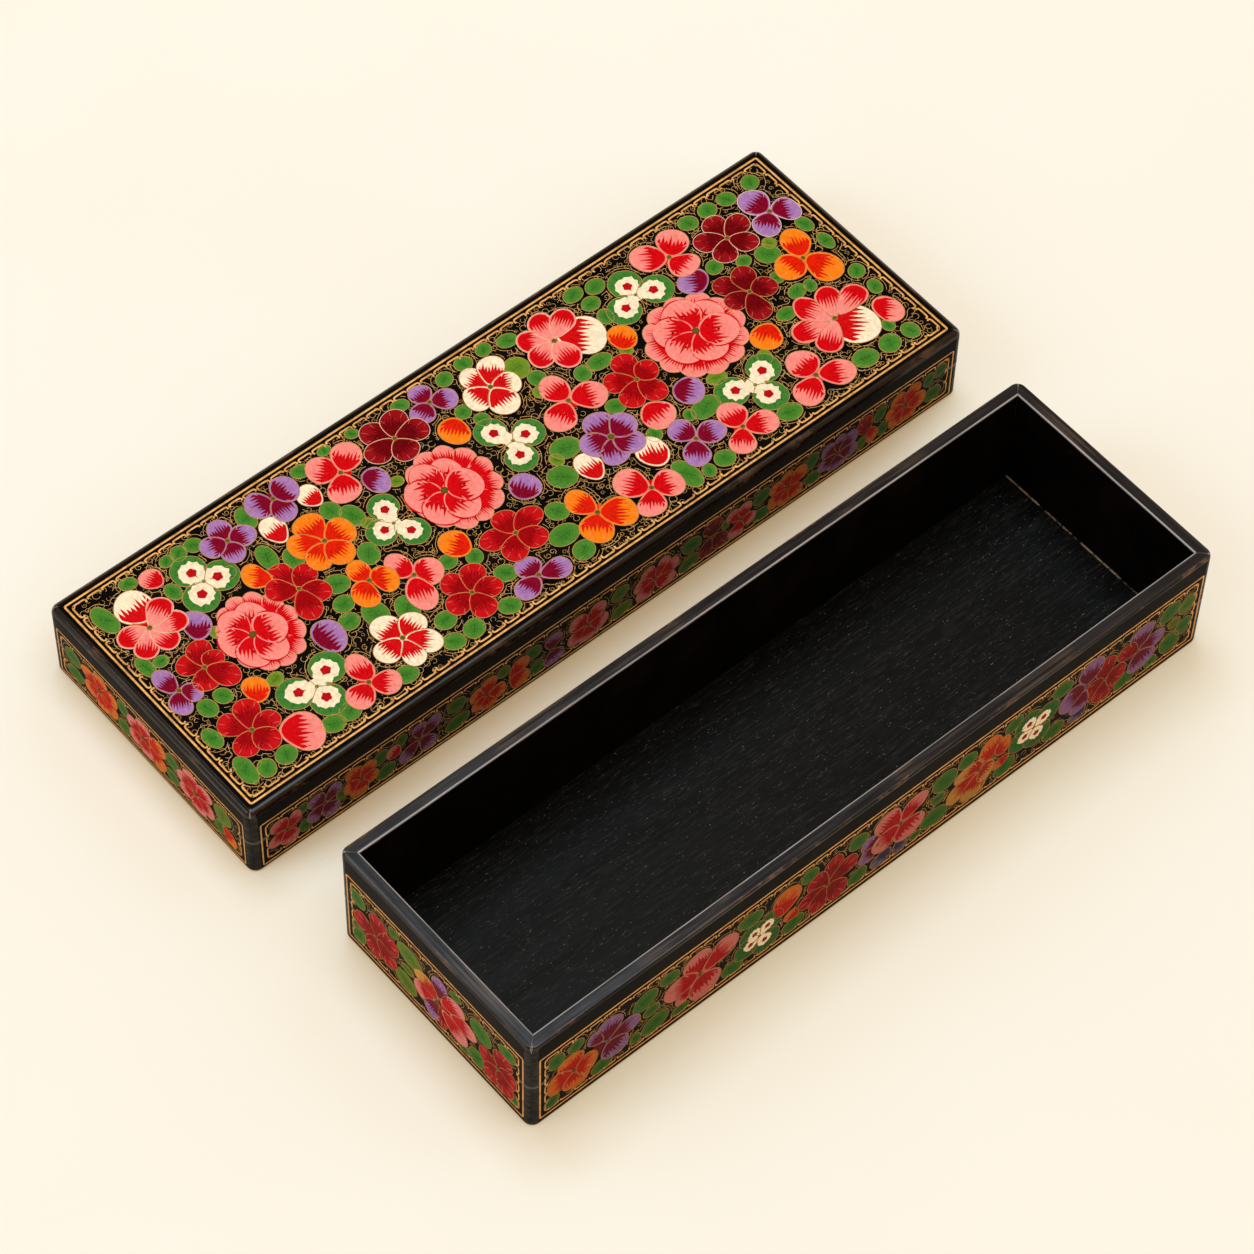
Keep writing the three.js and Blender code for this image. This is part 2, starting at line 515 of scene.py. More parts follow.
# Drawing on a flat face: lengths in millimetres, u along the face, v up it, and a height above it


def partway(start: Point, end: Point, share: float) -> Point:
    """The point at a share of the way from one point to another."""
    return start[0] + (end[0] - start[0]) * share, start[1] + (end[1] - start[1]) * share


def mean_point(points: Sequence[Point]) -> Point:
    """The mean of some points."""
    return sum(u for u, _ in points) / len(points), sum(v for _, v in points) / len(points)


def on_ellipse(centre: Point, half_u: float, half_v: float, turn: float) -> Point:
    """The point of an ellipse at an angle."""
    return centre[0] + half_u * math.cos(turn), centre[1] + half_v * math.sin(turn)


def ellipse(centre: Point, half_u: float, half_v: float, count: int) -> list[Point]:
    """An ellipse's outline of so many points, counter-clockwise."""
    return [on_ellipse(centre, half_u, half_v, FULL_TURN * k / count) for k in range(count)]


def scalloped(centre: Point, radius: float, scallops: int, depth: float, start: float) -> list[Point]:
    """A round outline with a scalloped edge.

    Args:
        centre: Its centre.
        radius: Its mean radius.
        scallops: How many scallops go round it.
        depth: How deep they are, as a share of the radius.
        start: The angle that the first one starts at.

    Returns:
        The points.
    """
    count = scallops * 4
    outline = []
    for k in range(count):
        turn = FULL_TURN * k / count
        reach = radius * (1 - depth + 2 * depth * abs(math.sin(scallops * (turn - start) / 2)))
        outline.append(on_ellipse(centre, reach, reach, turn))
    return outline


def rounded_rectangle(half_u: float, half_v: float, middle_v: float, radius: float) -> list[Point]:
    """A rectangle's outline with small round corners, centred in u.

    Args:
        half_u: Half its width.
        half_v: Half its height.
        middle_v: The height of its middle.
        radius: The corners' radius.

    Returns:
        The points, counter-clockwise.
    """
    outline = []
    for corner, (sign_u, sign_v) in enumerate(((1, -1), (1, 1), (-1, 1), (-1, -1))):
        centre = (sign_u * (half_u - radius), middle_v + sign_v * (half_v - radius))
        for step in range(4):
            turn = (corner - 1) * QUARTER + step * QUARTER / 3
            outline.append(on_ellipse(centre, radius, radius, turn))
    return outline


@dataclass
class Film:
    """Low closed shapes of paint on one face, gathered into one mesh."""

    varnish_and_shade: Colour
    sunk: float = 0.03
    points: list[tuple[float, float, float]] = field(default_factory=list)
    faces: list[tuple[int, ...]] = field(default_factory=list)
    colours: list[Colour] = field(default_factory=list)

    def lay(
        self,
        outline: Sequence[Point],
        level: float,
        edge: Colour,
        heart: Colour | None = None,
        centre: Point | None = None,
        rings: Sequence[float] = (0.0,),
        crown: float = 0.0,
    ) -> None:
        """Adds one closed shape, with its colour running from its edge to its heart.

        Args:
            outline: The shape's outline, counter-clockwise.
            level: Height of its edge above the face.
            edge: Colour at the edge.
            heart: Colour at the heart; the edge's where None.
            centre: Where the heart is.
            rings: How far in each ring of points lies, from 0 at the edge to 1 at the heart.
            crown: How much higher the heart is than the edge.
        """
        count = len(outline)
        first = len(self.points)
        self.points += [(u, v, -self.sunk) for u, v in outline]
        self.colours += [edge] * count
        middle = centre or outline[0]
        for share in rings:
            height = level + crown * (1 - (1 - share) ** 2)
            self.points += [(*partway(point, middle, share), height) for point in outline]
            self.colours += [blend_colours(edge, heart or edge, share)] * count
        for ring in range(len(rings)):
            low = first + ring * count
            high = low + count
            for k in range(count):
                after = (k + 1) % count
                self.faces.append((low + k, low + after, high + after, high + k))
        top = first + len(rings) * count
        self.faces.append(tuple(range(top, top + count)))
        self.faces.append(tuple(reversed(range(first, first + count))))

    def stroke(self, start: Point, end: Point, width: float, level: float, colour: Colour) -> None:
        """Adds one touch of a pointed brush.

        Args:
            start: Where the touch starts.
            end: Where it ends.
            width: Its width at its widest.
            level: Height of its top above the face.
            colour: Its colour.
        """
        along = (end[0] - start[0], end[1] - start[1])
        length = math.hypot(*along) or 1
        side = (-along[1] / length * width / 2, along[0] / length * width / 2)

        def beside(share: float, hand: float) -> Point:
            """A point of the touch's edge: how far along it lies, and its side and share of the width."""
            middle = partway(start, end, share)
            return middle[0] + side[0] * hand, middle[1] + side[1] * hand

        outline = (start, beside(0.35, -1), beside(0.7, -0.7), end, beside(0.7, 0.7), beside(0.35, 1))
        self.lay(outline, level, colour)

    def mesh(self, name: str) -> Mesh:
        """Makes the mesh, in metres, with its colours as the pigment attribute.

        Args:
            name: The mesh's name.

        Returns:
            The mesh.
        """
        mesh = bpy.data.meshes.new(name)
        mesh.from_pydata([(u * MM, v * MM, w * MM) for u, v, w in self.points], [], self.faces)
        pigment = mesh.attributes.new("pigment", "FLOAT_COLOR", "POINT")
        shades = np.ones((len(self.colours), 4), np.float32)
        # The face's tint is multiplied in: a warm tone on every face, and painted shade on the sides.
        shades[:, :3] = np.array(self.colours, np.float32) * np.array(self.varnish_and_shade, np.float32)
        pigment.data.foreach_set("color", shades.ravel())
        mesh.materials.append(BODY_COLOUR.material())
        return mesh


@dataclass(frozen=True)
class Flower:
    """Petals of one pigment round a centre, each given as u, v, half width and half height."""

    pigment: Pigment
    centre: Point
    petals: tuple[tuple[float, float, float, float], ...]
    flame_at_tip: bool = False
    eye: float = 1.0
    pale_line: bool = False


@dataclass(frozen=True)
class Leaf:
    """One leaf, given by its middle and its half width and half height."""

    u: float
    v: float
    half_u: float
    half_v: float
    leafage: Leafage = Leafage.GREEN


@dataclass(frozen=True)
class Rosette:
    """A green lobed ground with a cream lobe and a red dot on each lobe."""

    dots: tuple[Point, ...]
    ground: float = 5.6
    lobe: float = 4.0


@dataclass(frozen=True)
class Peony:
    """A large full flower with ruffled rows of petals."""

    centre: Point
    half_u: float
    half_v: float
    eye: Point

    def at(self, turn: float, share: float) -> Point:
        """The point at an angle and a share of its radius."""
        return on_ellipse(self.centre, self.half_u * share, self.half_v * share, turn)

    def fan(self, turn: float, spread: float, inner: float, rise: Sequence[float]) -> list[Point]:
        """A stretch of a ring round it: a plain inner arc and an outer edge that rises and falls.

        Args:
            turn: The middle of the stretch, as an angle.
            spread: Half its width, as an angle.
            inner: The inner arc's radius, as a share of the peony's.
            rise: The radius at each point of the outer edge.

        Returns:
            The outline, counter-clockwise.
        """
        last = len(rise) - 1
        outer = [self.at(turn - spread + 2 * spread * k / last, share) for k, share in enumerate(rise)]
        return outer + [self.at(turn + spread * (1 - k / 3), inner) for k in range(7)]


@dataclass(frozen=True)
class Layout:
    """Everything that is painted on one face, inside its gold frame."""

    half_u: float
    low: float
    high: float
    flowers: tuple[Flower, ...]
    leaves: tuple[Leaf, ...]
    rosettes: tuple[Rosette, ...] = ()
    peonies: tuple[Peony, ...] = ()

    def reversed(self, exchange: dict[Pigment, Pigment]) -> "Layout":
        """The same row turned end for end in other colours, for the opposite side.

        Args:
            exchange: The pigment that takes the place of each.

        Returns:
            The turned layout.
        """
        flowers = tuple(
            replace(
                flower,
                pigment=exchange.get(flower.pigment, flower.pigment),
                centre=(-flower.centre[0], flower.centre[1]),
                petals=tuple((-u, *rest) for u, *rest in flower.petals),
            )
            for flower in self.flowers
        )
        leaves = tuple(replace(leaf, u=-leaf.u) for leaf in self.leaves)
        rosettes = tuple(
            replace(rosette, dots=tuple((-u, v) for u, v in rosette.dots)) for rosette in self.rosettes
        )
        return replace(self, flowers=flowers, leaves=leaves, rosettes=rosettes)


class DrawingTree:
    """A Geometry Nodes tree that draws in gold, with short calls that add its nodes."""

    def __init__(self, name: str, start: str, numbers: Sequence[str], result: str) -> None:
        """Starts a tree with named inputs: some geometry, some numbers and the paint.

        Args:
            name: The tree's name.
            start: Name of the input that takes the geometry.
            numbers: Names of the inputs that take a number.
            result: Name of the output.
        """
        self.tree = bpy.data.node_groups.new(name, "GeometryNodeTree")
        kinds = {start: "Geometry", **dict.fromkeys(numbers, "Float"), "Paint": "Material"}
        for socket, kind in kinds.items():
            self.tree.interface.new_socket(name=socket, in_out="INPUT", socket_type="NodeSocket" + kind)
        self.tree.interface.new_socket(name=result, in_out="OUTPUT", socket_type="NodeSocketGeometry")
        self.given = add_node(self.tree, "NodeGroupInput").outputs

    def add(self, kind: str, output: str, inputs: dict | None = None, **settings: object) -> Socket:
        """Adds a geometry node, as add_node does, and gives one of its outputs."""
        return add_node(self.tree, "GeometryNode" + kind, inputs, **settings).outputs[output]

    def share_of(self, number: Socket, share: float) -> Socket:
        """A number multiplied by a plain share."""
        node = add_node(self.tree, "ShaderNodeMath", {0: number, 1: share}, operation="MULTIPLY")
        return node.outputs["Value"]

    def sweep(self, path: Socket, section: Socket) -> Socket:
        """Draws a section along a path, kept upright and closed at its ends.

        Args:
            path: The path.
            section: The section.

        Returns:
            The drawn line.
        """
        upright = self.add("SetCurveNormal", "Curve", {"Curve": path}, mode="Z_UP")
        inputs = {"Curve": upright, "Profile Curve": section, "Fill Caps": True}
        return self.add("CurveToMesh", "Mesh", inputs)

    def finish(self, shape: Socket) -> Tree:
        """Makes the shape real, gives it the paint and hands over the tree.

        Args:
            shape: The drawn geometry.

        Returns:
            The finished tree.
        """
        real = self.add("RealizeInstances", "Geometry", {"Geometry": shape})
        dressed = self.add("SetMaterial", "Geometry", {"Geometry": real, "Material": self.given["Paint"]})
        add_node(self.tree, "NodeGroupOutput", {0: dressed})
        return self.tree


@cache
def line_tree() -> Tree:
    """Geometry Nodes that draw a raised line of paint along every path of a curve.

    Returns:
        The tree, with the line's width, height and material as named inputs.
    """
    lines = DrawingTree("raised_line_along_paths", "Paths", ("Line Width", "Line Height"), "Lines")
    width = lines.given["Line Width"]
    slope = lines.share_of(width, 0.62)
    section = {"Top Width": width, "Bottom Width": slope, "Height": lines.given["Line Height"], "Offset": 0}
    profile = lines.add("CurvePrimitiveQuadrilateral", "Curve", section, mode="TRAPEZOID")
    return lines.finish(lines.sweep(lines.given["Paths"], profile))


@cache
def scroll_tree() -> Tree:
    """Geometry Nodes that set a small gold curl on every point of the ground.

    Returns:
        The tree: two kinds of curl, turned and sized by each point's own attributes.
    """
    scrolls = DrawingTree("curls_on_ground_points", "Ground Points", ("Line Width", "Curl Radius"), "Curls")
    radius = scrolls.given["Curl Radius"]
    stem_radius = scrolls.share_of(scrolls.given["Line Width"], 0.58)
    stem = scrolls.add("CurvePrimitiveCircle", "Curve", {"Resolution": 3, "Radius": stem_radius})
    flattened = {"Geometry": stem, "Rotation": (0, 0, -QUARTER), "Scale": (0.5, 1, 1)}
    section = scrolls.add("Transform", "Geometry", flattened)
    spiral_shape = {"Resolution": 7, "Rotations": 1.15, "Height": 0, "End Radius": radius}
    spiral_shape["Start Radius"] = scrolls.share_of(radius, 0.28)
    spiral = scrolls.add("CurveSpiral", "Curve", spiral_shape)
    hook_shape = {"Resolution": 9, "Sweep Angle": 4.9, "Radius": radius}
    hook = scrolls.add("CurveArc", "Curve", hook_shape, mode="RADIUS")
    kinds = add_node(scrolls.tree, "GeometryNodeGeometryToInstance")
    for path in (hook, spiral):
        scrolls.tree.links.new(scrolls.sweep(path, section), kinds.inputs["Geometry"])

    def own(name: str, kind: str) -> Socket:
        """An attribute that each ground point holds."""
        return scrolls.add("InputNamedAttribute", "Attribute", {"Name": name}, data_type=kind)

    placed = {
        "Points": scrolls.given["Ground Points"],
        "Instance": kinds.outputs["Instances"],
        "Pick Instance": True,
        "Instance Index": own("kind", "INT"),
        "Rotation": own("turn", "FLOAT_VECTOR"),
        "Scale": own("size", "FLOAT_VECTOR"),
    }
    return scrolls.finish(scrolls.add("InstanceOnPoints", "Instances", placed))


def run_tree(
    name: str,
    data: bpy.types.Curve | Mesh,
    tree: Tree,
    inputs: dict[str, object],
) -> Mesh:
    """Runs a Geometry Nodes tree on some data and keeps the result as a plain mesh.

    Args:
        name: Name for the mesh.
        data: The curve or mesh that the tree starts from.
        tree: The tree.
        inputs: A value for each named input.

    Returns:
        The evaluated mesh.
    """
    carrier = link_to_scene(name + "_paths", data)
    modifier = carrier.modifiers.new("tree", "NODES")
    modifier.node_group = tree
    for socket in tree.interface.items_tree:
        if socket.in_out == "INPUT" and socket.name in inputs:
            modifier[socket.identifier] = inputs[socket.name]
    graph = bpy.context.evaluated_depsgraph_get()
    mesh = bpy.data.meshes.new_from_object(carrier.evaluated_get(graph), depsgraph=graph)
    mesh.name = name
    mesh.materials.clear()
    mesh.materials.append(inputs["Paint"])
    bpy.data.objects.remove(carrier)
    return mesh


def paths_curve(name: str, paths: Iterable[Path], taper: float = 0.0) -> bpy.types.Curve:
    """A curve that holds many paths drawn on a face.

    Args:
        name: Name for the curve.
        paths: The points, the level and whether it is closed, of each path.
        taper: How much thinner a path is at its ends than in its middle, as a share.

    Returns:
        The curve, in metres.
    """
    curve = bpy.data.curves.new(name, "CURVE")
    curve.dimensions = "3D"
    for points, level, closed in paths:
        last = len(points) - 1
        spline = curve.splines.new("POLY")
        spline.points.add(last)
        spline.use_cyclic_u = closed
        flat = [c for u, v in points for c in (u * MM, v * MM, level * MM, 1)]
        spline.points.foreach_set("co", flat)
        spline.points.foreach_set("radius", [1 - taper * abs(2 * k / last - 1) for k in range(last + 1)])
    return curve


# Where things are painted, in millimetres; rows of u, v, half width, half height

PINK, CRIMSON, DARK_CRIMSON, ORANGE, PURPLE, CREAM, YELLOW, STEEL = Pigment


def bud(pigment: Pigment, u: float, v: float, half_u: float, half_v: float, root: Point) -> Flower:
    """A single petal as a flower of its own, with a root that lies so far from its middle."""
    return Flower(pigment, (u + root[0], v + root[1]), ((u, v, half_u, half_v),), eye=0)


def leaf_rows(leafage: Leafage, *rows: Sequence[float]) -> tuple[Leaf, ...]:
    """Leaves of one green, from a row for each."""
    return tuple(Leaf(*row, leafage) for row in rows)


LID_TOP = Layout(
    half_u=132.9,
    low=-42.9,
    high=42.9,
    flowers=(
        Flower(CRIMSON, (-116, 1.2), ((-119, 4.7, 3.6, 3.4), (-113.6, 6.9, 3.6, 3.4), (-112.4, 1.9, 3.2, 3),
            (-118.3, -2.6, 3.7, 3.5), (-112.4, -4.9, 3.6, 3.9))),
        Flower(CRIMSON, (-77.9, 5.6), ((-78.8, 13, 3.6, 3.7), (-73.4, 8.7, 3.5, 3.4), (-83, 9, 3.4, 3.8),
            (-74, 1.4, 3.6, 3.6), (-79.8, -1.8, 3.7, 3.8))),
        Flower(CRIMSON, (-118.8, -24.8), ((-122.6, -19.4, 3.4, 3.7), (-115.8, -18.4, 3.6, 3.8),
            (-113.6, -25, 3.8, 3.2), (-123.5, -28, 3.4, 3.6), (-117.2, -30, 3.7, 3.6))),
        Flower(CRIMSON, (-39.8, -27.8), ((-42.2, -22, 3.5, 3.7), (-35.4, -22.8, 3.6, 3.6),
            (-45.4, -28.5, 3.6, 3.4), (-34.4, -29.5, 3.5, 3.4), (-40.3, -33.8, 3.7, 3.6))),
        Flower(CRIMSON, (-16.3, -19.4), ((-22.9, -17.2, 4, 3.5), (-15.9, -13.9, 3.7, 3.5),
            (-9.4, -17.4, 4, 3.4), (-20.3, -24.1, 3.8, 3.6), (-12.8, -24, 3.8, 3.6))),
        Flower(CRIMSON, (48.4, 1.2), ((49.4, 8.1, 3.8, 3.8), (42.8, 4.4, 3.6, 3.5), (43, -3, 3.6, 3.7),
            (50, -5.2, 3.7, 3.8), (53.2, 2.2, 3.3, 3.6))),
        Flower(DARK_CRIMSON, (105.9, 25.4), ((106.3, 31.8, 3.7, 3.5), (99.9, 28.4, 3.7, 3.5),
            (112.3, 27.8, 3.6, 3.5), (101.5, 21.3, 3.6, 3.5), (109.6, 20.6, 3.6, 3.4)), pale_line=True),
        Flower(DARK_CRIMSON, (97.2, 5), ((92.9, 11.6, 3.5, 3.4), (99.9, 11, 3.7, 3.5), (91.6, 5, 3.2, 3.2),
            (102.3, 3.6, 3.5, 3.6), (94.9, -2, 3.6, 3.8))),
        Flower(DARK_CRIMSON, (-21.9, 30.6), ((-25.6, 36.2, 4, 3.8), (-17.8, 35.9, 4, 3.8),
            (-29, 29.6, 3.8, 3.8), (-14.9, 29.2, 3.8, 3.8), (-22, 25, 4, 3.4)), pale_line=True),
        Flower(ORANGE, (-61.4, 14.4), ((-61.6, 21.6, 4.6, 4), (-67.8, 17.2, 3.8, 4.2),
            (-55.6, 14.2, 4, 4.6), (-66.4, 10.4, 3.8, 4), (-60.4, 8, 4.2, 3.8))),
        Flower(ORANGE, (-60.2, -5.2), ((-60.5, -1, 3.2, 4.2), (-64.2, -8.4, 3.5, 4.6),
            (-56.2, -7.6, 3.4, 4.6))),
        Flower(ORANGE, (7.2, -29), ((5.4, -22.6, 3.8, 4.2), (3.4, -33.4, 4.6, 5), (12.8, -33.2, 4.6, 5))),
        Flower(ORANGE, (118.8, 4.6), ((121.4, 11.2, 4.2, 4.6), (113.6, 4.4, 4.8, 4.6),
            (121.9, -2.4, 4.8, 5.4))),
        bud(ORANGE, -85.1, 17.4, 3.3, 4.3, (4, -4)),
        bud(ORANGE, -109.2, -14.2, 3.5, 4.2, (-3, -4)),
        bud(ORANGE, -32.6, -10.9, 4.2, 4.6, (3, -5)),
        bud(ORANGE, -6.2, 21.5, 4.2, 4.9, (4, 3)),
        bud(ORANGE, 55.7, 16.5, 4, 4.5, (-4, -3)),
        bud(ORANGE, 89.6, -11.4, 4.6, 4.6, (5, 3)),
        Flower(PURPLE, (-83.4, 32.6), ((-82.9, 37.4, 3.4, 3.4), (-78.6, 31.4, 3.6, 3.6),
            (-84.6, 28, 3.4, 3.2), (-88.2, 33.6, 3.4, 3.6))),
        Flower(PURPLE, (-63.6, 36.2), ((-68.4, 36.9, 3.8, 4.6), (-63.7, 31, 3.5, 4),
            (-58.8, 36.9, 3.8, 4.6))),
        Flower(PURPLE, (-126.6, -0.6), ((-127.8, 4.6, 2.9, 4.2), (-129, -4.6, 2.9, 3.8),
            (-123.8, -3.4, 2.6, 3.2))),
        Flower(PURPLE, (-5.2, 34.6), ((-5.5, 39, 3.4, 3), (-9.5, 32.6, 3.6, 3.6), (-0.7, 32.6, 3.6, 3.6))),
        Flower(PURPLE, (-20.8, -35.4), ((-21.4, -31.4, 3.8, 3.6), (-26.4, -37.2, 3.8, 3.4),
            (-14.6, -37.2, 3.8, 3.4))),
        Flower(PURPLE, (47.6, -27), ((46.2, -22, 3.8, 3.8), (53, -28, 4.2, 3.8), (43.9, -31.8, 3.8, 4))),
        Flower(PURPLE, (123.2, 25.2), ((121.8, 31, 4.5, 4.6), (119, 21.6, 4, 4.2), (128.2, 22.4, 3.4, 4.4)),
            pale_line=True),
        Flower(PURPLE, (28.4, -10.3), ((28.6, -4.2, 4.6, 4), (22.6, -9.4, 3.8, 4.4),
            (25.4, -15.8, 4.2, 3.8), (31.8, -15.4, 4.2, 3.8), (34.4, -9, 3.6, 4.2)), eye=1.5),
        bud(PURPLE, -108.6, 14.7, 3.8, 4.8, (-4, -4)),
        bud(PURPLE, -81.5, -13.1, 4.5, 5.6, (-5, 0)),
        bud(PURPLE, -35.7, 22.2, 3.7, 4.7, (-3, 4)),
        bud(PURPLE, -3.4, -8.1, 4.5, 4.6, (-4, -3)),
        bud(PURPLE, 57.8, -11.7, 4.7, 4.7, (-3, 4)),
        bud(PURPLE, 86.8, 19, 5, 4.2, (4, -3)),
        bud(CREAM, -119, 31.1, 5.4, 5.6, (0, -7)),
        bud(CREAM, -70.3, 27.2, 3.6, 4.6, (0, -6)),
        bud(CREAM, -54.6, 30.3, 3.4, 3.9, (1, -5)),
        Flower(CREAM, (12.6, 27.4), ((10.4, 33.6, 3.5, 3.6), (17.6, 33.2, 4, 3.8), (18, 25.2, 3.4, 3.8),
            (6.6, 26.4, 3.6, 4.4), (12.3, 20, 4.5, 4))),
        bud(CREAM, 47.3, 24.7, 6.3, 6.8, (-7, 6)),
        bud(CREAM, 16.4, -14.6, 3.8, 5, (0, -6)),
        bud(CREAM, 34.4, -22.4, 4.5, 5.3, (-2, -6)),
        bud(CREAM, 114.1, -25.3, 6.6, 6.8, (-7, 6)),
        Flower(CREAM, (-65.6, -27.4), ((-67.2, -21.6, 4.2, 4.2), (-60.2, -25.4, 3.8, 4),
            (-60.2, -33, 3.5, 4), (-66.8, -34.2, 3.2, 3.6), (-72, -28.4, 3.6, 3.8))),
        bud(PINK, -109, 36.1, 3.3, 3.3, (2, -4)),
        Flower(PINK, (-119.8, 22.4), ((-126.1, 23.2, 3.6, 3.6), (-124.9, 17, 3.4, 3.2),
            (-118.2, 16, 3.4, 3.4), (-112.9, 19.6, 3.8, 3.4), (-113.4, 26, 3.6, 3.6)), flame_at_tip=True,
            pale_line=True),
        bud(PINK, -107.6, -34.4, 5.4, 6.4, (-6, 4)),
        Flower(PINK, (-82.8, -33.2), ((-81.7, -27.8, 3.5, 5), (-87.6, -35.6, 4, 4),
            (-78.6, -36.6, 4, 3.8))),
        Flower(PINK, (-42.2, 31), ((-46, 35.4, 4.4, 4.6), (-36.8, 35, 4.2, 4.6), (-45.3, 25.4, 4.8, 4.3))),
        Flower(PINK, (-48.9, -12), ((-50.4, -6.6, 3.6, 4.4), (-44.8, -13.5, 4.2, 4.6),
            (-51.6, -19.2, 4, 5))),
        Flower(PINK, (27.4, 8.4), ((27, 14.6, 4.2, 4.6), (21.2, 4.8, 4.5, 4.6), (34.3, 5.8, 4.4, 4.8))),
        Flower(PINK, (38.7, 28.6), ((33, 33.2, 3.8, 3.8), (39.9, 36.2, 3.8, 3.8), (46.2, 33.4, 3.6, 3.6),
            (32, 26.4, 3.8, 3.8), (38.2, 21.6, 4, 4)), flame_at_tip=True, pale_line=True),
        bud(PINK, 44.8, -13, 5, 4.8, (0, 6)),
        Flower(PINK, (25.4, -32.4), ((21.6, -27.2, 4.6, 5), (30.6, -34.4, 4.2, 4.6),
            (21.4, -37.4, 4.3, 3.6))),
        Flower(PINK, (61.4, -32.6), ((61.9, -27.4, 4.2, 4.6), (57.4, -37.2, 3.8, 3.8),
            (67.3, -35.4, 4.4, 4))),
        Flower(PINK, (87.2, 31.2), ((81.4, 35.3, 4.6, 4.8), (91.8, 35.1, 4.6, 4.8),
            (88.8, 25.8, 4.8, 3.6))),
        Flower(PINK, (110.4, -19.4), ((100.6, -17.6, 4.6, 3.8), (106.4, -11.4, 3.8, 4.6),
            (114.4, -12.2, 3.8, 4.2), (120.9, -16.4, 4.2, 3.8), (103.2, -25.2, 4, 3.8)), flame_at_tip=True),
        bud(PINK, 125.7, -27.1, 3.8, 5, (-4, 4)),
        Flower(PINK, (91.4, -32), ((91.2, -26.4, 4.8, 4.8), (85.3, -35.8, 4.4, 4.4),
            (98, -35.8, 4.4, 4.4))),
    ),
    leaves=leaf_rows(
        Leafage.GREEN,
        (-128.1, 32.9, 2.8, 5.3), (-115.2, 39, 2.6, 2.2), (-106.7, 28.3, 2.4, 2.8),
        (-101.7, 38.3, 2.2, 1.9), (-97.2, 38.3, 2.4, 2.6), (-92, 37.9, 2.6, 2.6), (-74.1, 35.8, 2.8, 4.2),
        (-78.1, 20.6, 2.8, 4.2), (-72.3, 15.4, 2.9, 3.5), (-129, 12.2, 2.2, 3.6), (-124.4, 11, 2.2, 2),
        (-68.3, 0, 3.6, 3.4), (-71.1, -6.9, 3, 3), (-73.8, -12.8, 3, 3), (-123.9, -10.6, 2.8, 3),
        (-117.9, -10, 2.6, 2.7), (-129.2, -19.7, 2.3, 3.9), (-128.5, -34.4, 2.6, 5),
        (-123.4, -37.6, 2.6, 3), (-116.4, -37.6, 3.4, 2.8), (-99.4, -37.9, 3.2, 3), (-93, -37.6, 3.2, 3),
        (-72.7, -38, 3.4, 3), (-51, 39.1, 3, 2.4), (-40.9, 40.6, 2.3, 1.6), (-30.6, 40.4, 2, 1.8),
        (-12.8, 39.4, 2.7, 2.2), (-53.2, 22, 3.1, 3), (-49.2, 16.4, 3.1, 4), (-54.2, 2.6, 3.2, 3.7),
        (-66.1, -15.6, 3.8, 4.2), (-57.8, -20, 3.4, 4.4), (-38.2, -14.6, 2.6, 2.6), (-31, -18.2, 2.6, 2.6),
        (-27.7, -28.6, 3.2, 3), (-51.9, -30.4, 3.2, 3.1), (-54.7, -37.8, 3.2, 2.9), (-47.3, -38, 3.4, 3),
        (-34.2, -38.3, 3.4, 2.8), (0.3, 25.4, 2.4, 2.6), (-5.6, -29, 4.4, 3.6), (-4.6, -36.9, 3.4, 3.2),
        (-1.7, -21, 3.3, 3.2), (3.8, 38.6, 2.6, 2.6), (12, 39.6, 3, 2.4), (20.1, 39.9, 2.6, 2.2),
        (27.9, 38, 3.2, 2.5), (3, 19.6, 2.3, 2.4), (25.7, 21, 2.8, 2.8), (54.8, 38.8, 3.2, 2.6),
        (56.8, 32.7, 2.8, 2.7), (62.1, 37, 3, 2.8), (57, 26, 2.4, 2.7), (37.5, 13.6, 2.6, 2.8),
        (44.2, 13.9, 3.8, 2.8), (15.3, -4.6, 4.4, 3.8), (37, -2.3, 2.8, 2.8), (7.7, -12.3, 4.2, 4),
        (39.1, -17.8, 2.5, 2.4), (57.8, -19.9, 4.8, 3.4), (52, -19, 1.9, 2), (37.1, -35.3, 3.2, 5.4),
        (43, -38.5, 2.2, 2.2), (49.6, -38, 3.4, 2.7), (100.6, 37.8, 3.2, 2.6), (108.6, 37.9, 3.2, 2.6),
        (116.1, 37.6, 3, 2.6), (126.3, 38, 3, 2.6), (95.4, 19.4, 2.7, 2.6), (103.9, 15.4, 2.6, 2),
        (111.5, 12.8, 3.7, 3.5), (128.3, 14.6, 2.3, 3), (107.6, 4, 1.9, 2.4), (108.7, -4, 3, 2.4),
        (113.4, -4.8, 2, 2.2), (100.3, -8.5, 2.9, 2.5), (129, 5.4, 2, 3.6), (128.2, -9.7, 2.7, 2.5),
        (128.5, -17.8, 2.1, 2.8), (76.1, -37.4, 3.6, 3.2), (107.5, -36.7, 3.8, 3.4), (117.1, -37.2, 3.7, 3),
        (125.3, -37.5, 2.8, 2.8), (121.4, -31.8, 2, 2),
    )
    + leaf_rows(
        Leafage.OLIVE,
        (23.4, 28, 3.6, 4.2), (23.2, 16.2, 2.4, 2.2), (53.4, 11.8, 2, 1.8), (-47.5, 11.4, 1.8, 2),
        (-90, 23.4, 2.2, 2), (67.6, -13.6, 3, 2.4), (84.2, -16.8, 2.2, 2.6), (10.4, -6.4, 2, 2.2),
        (-102.8, -15, 2.4, 2.2), (114.8, 15.8, 2.2, 2), (-31.4, 18, 2.2, 1.8), (-105.6, 8.6, 1.9, 2.4),
    ),
    rosettes=(
        Rosette(((-98.6, 30.2), (-93.4, 24.4), (-100.8, 22.2))),
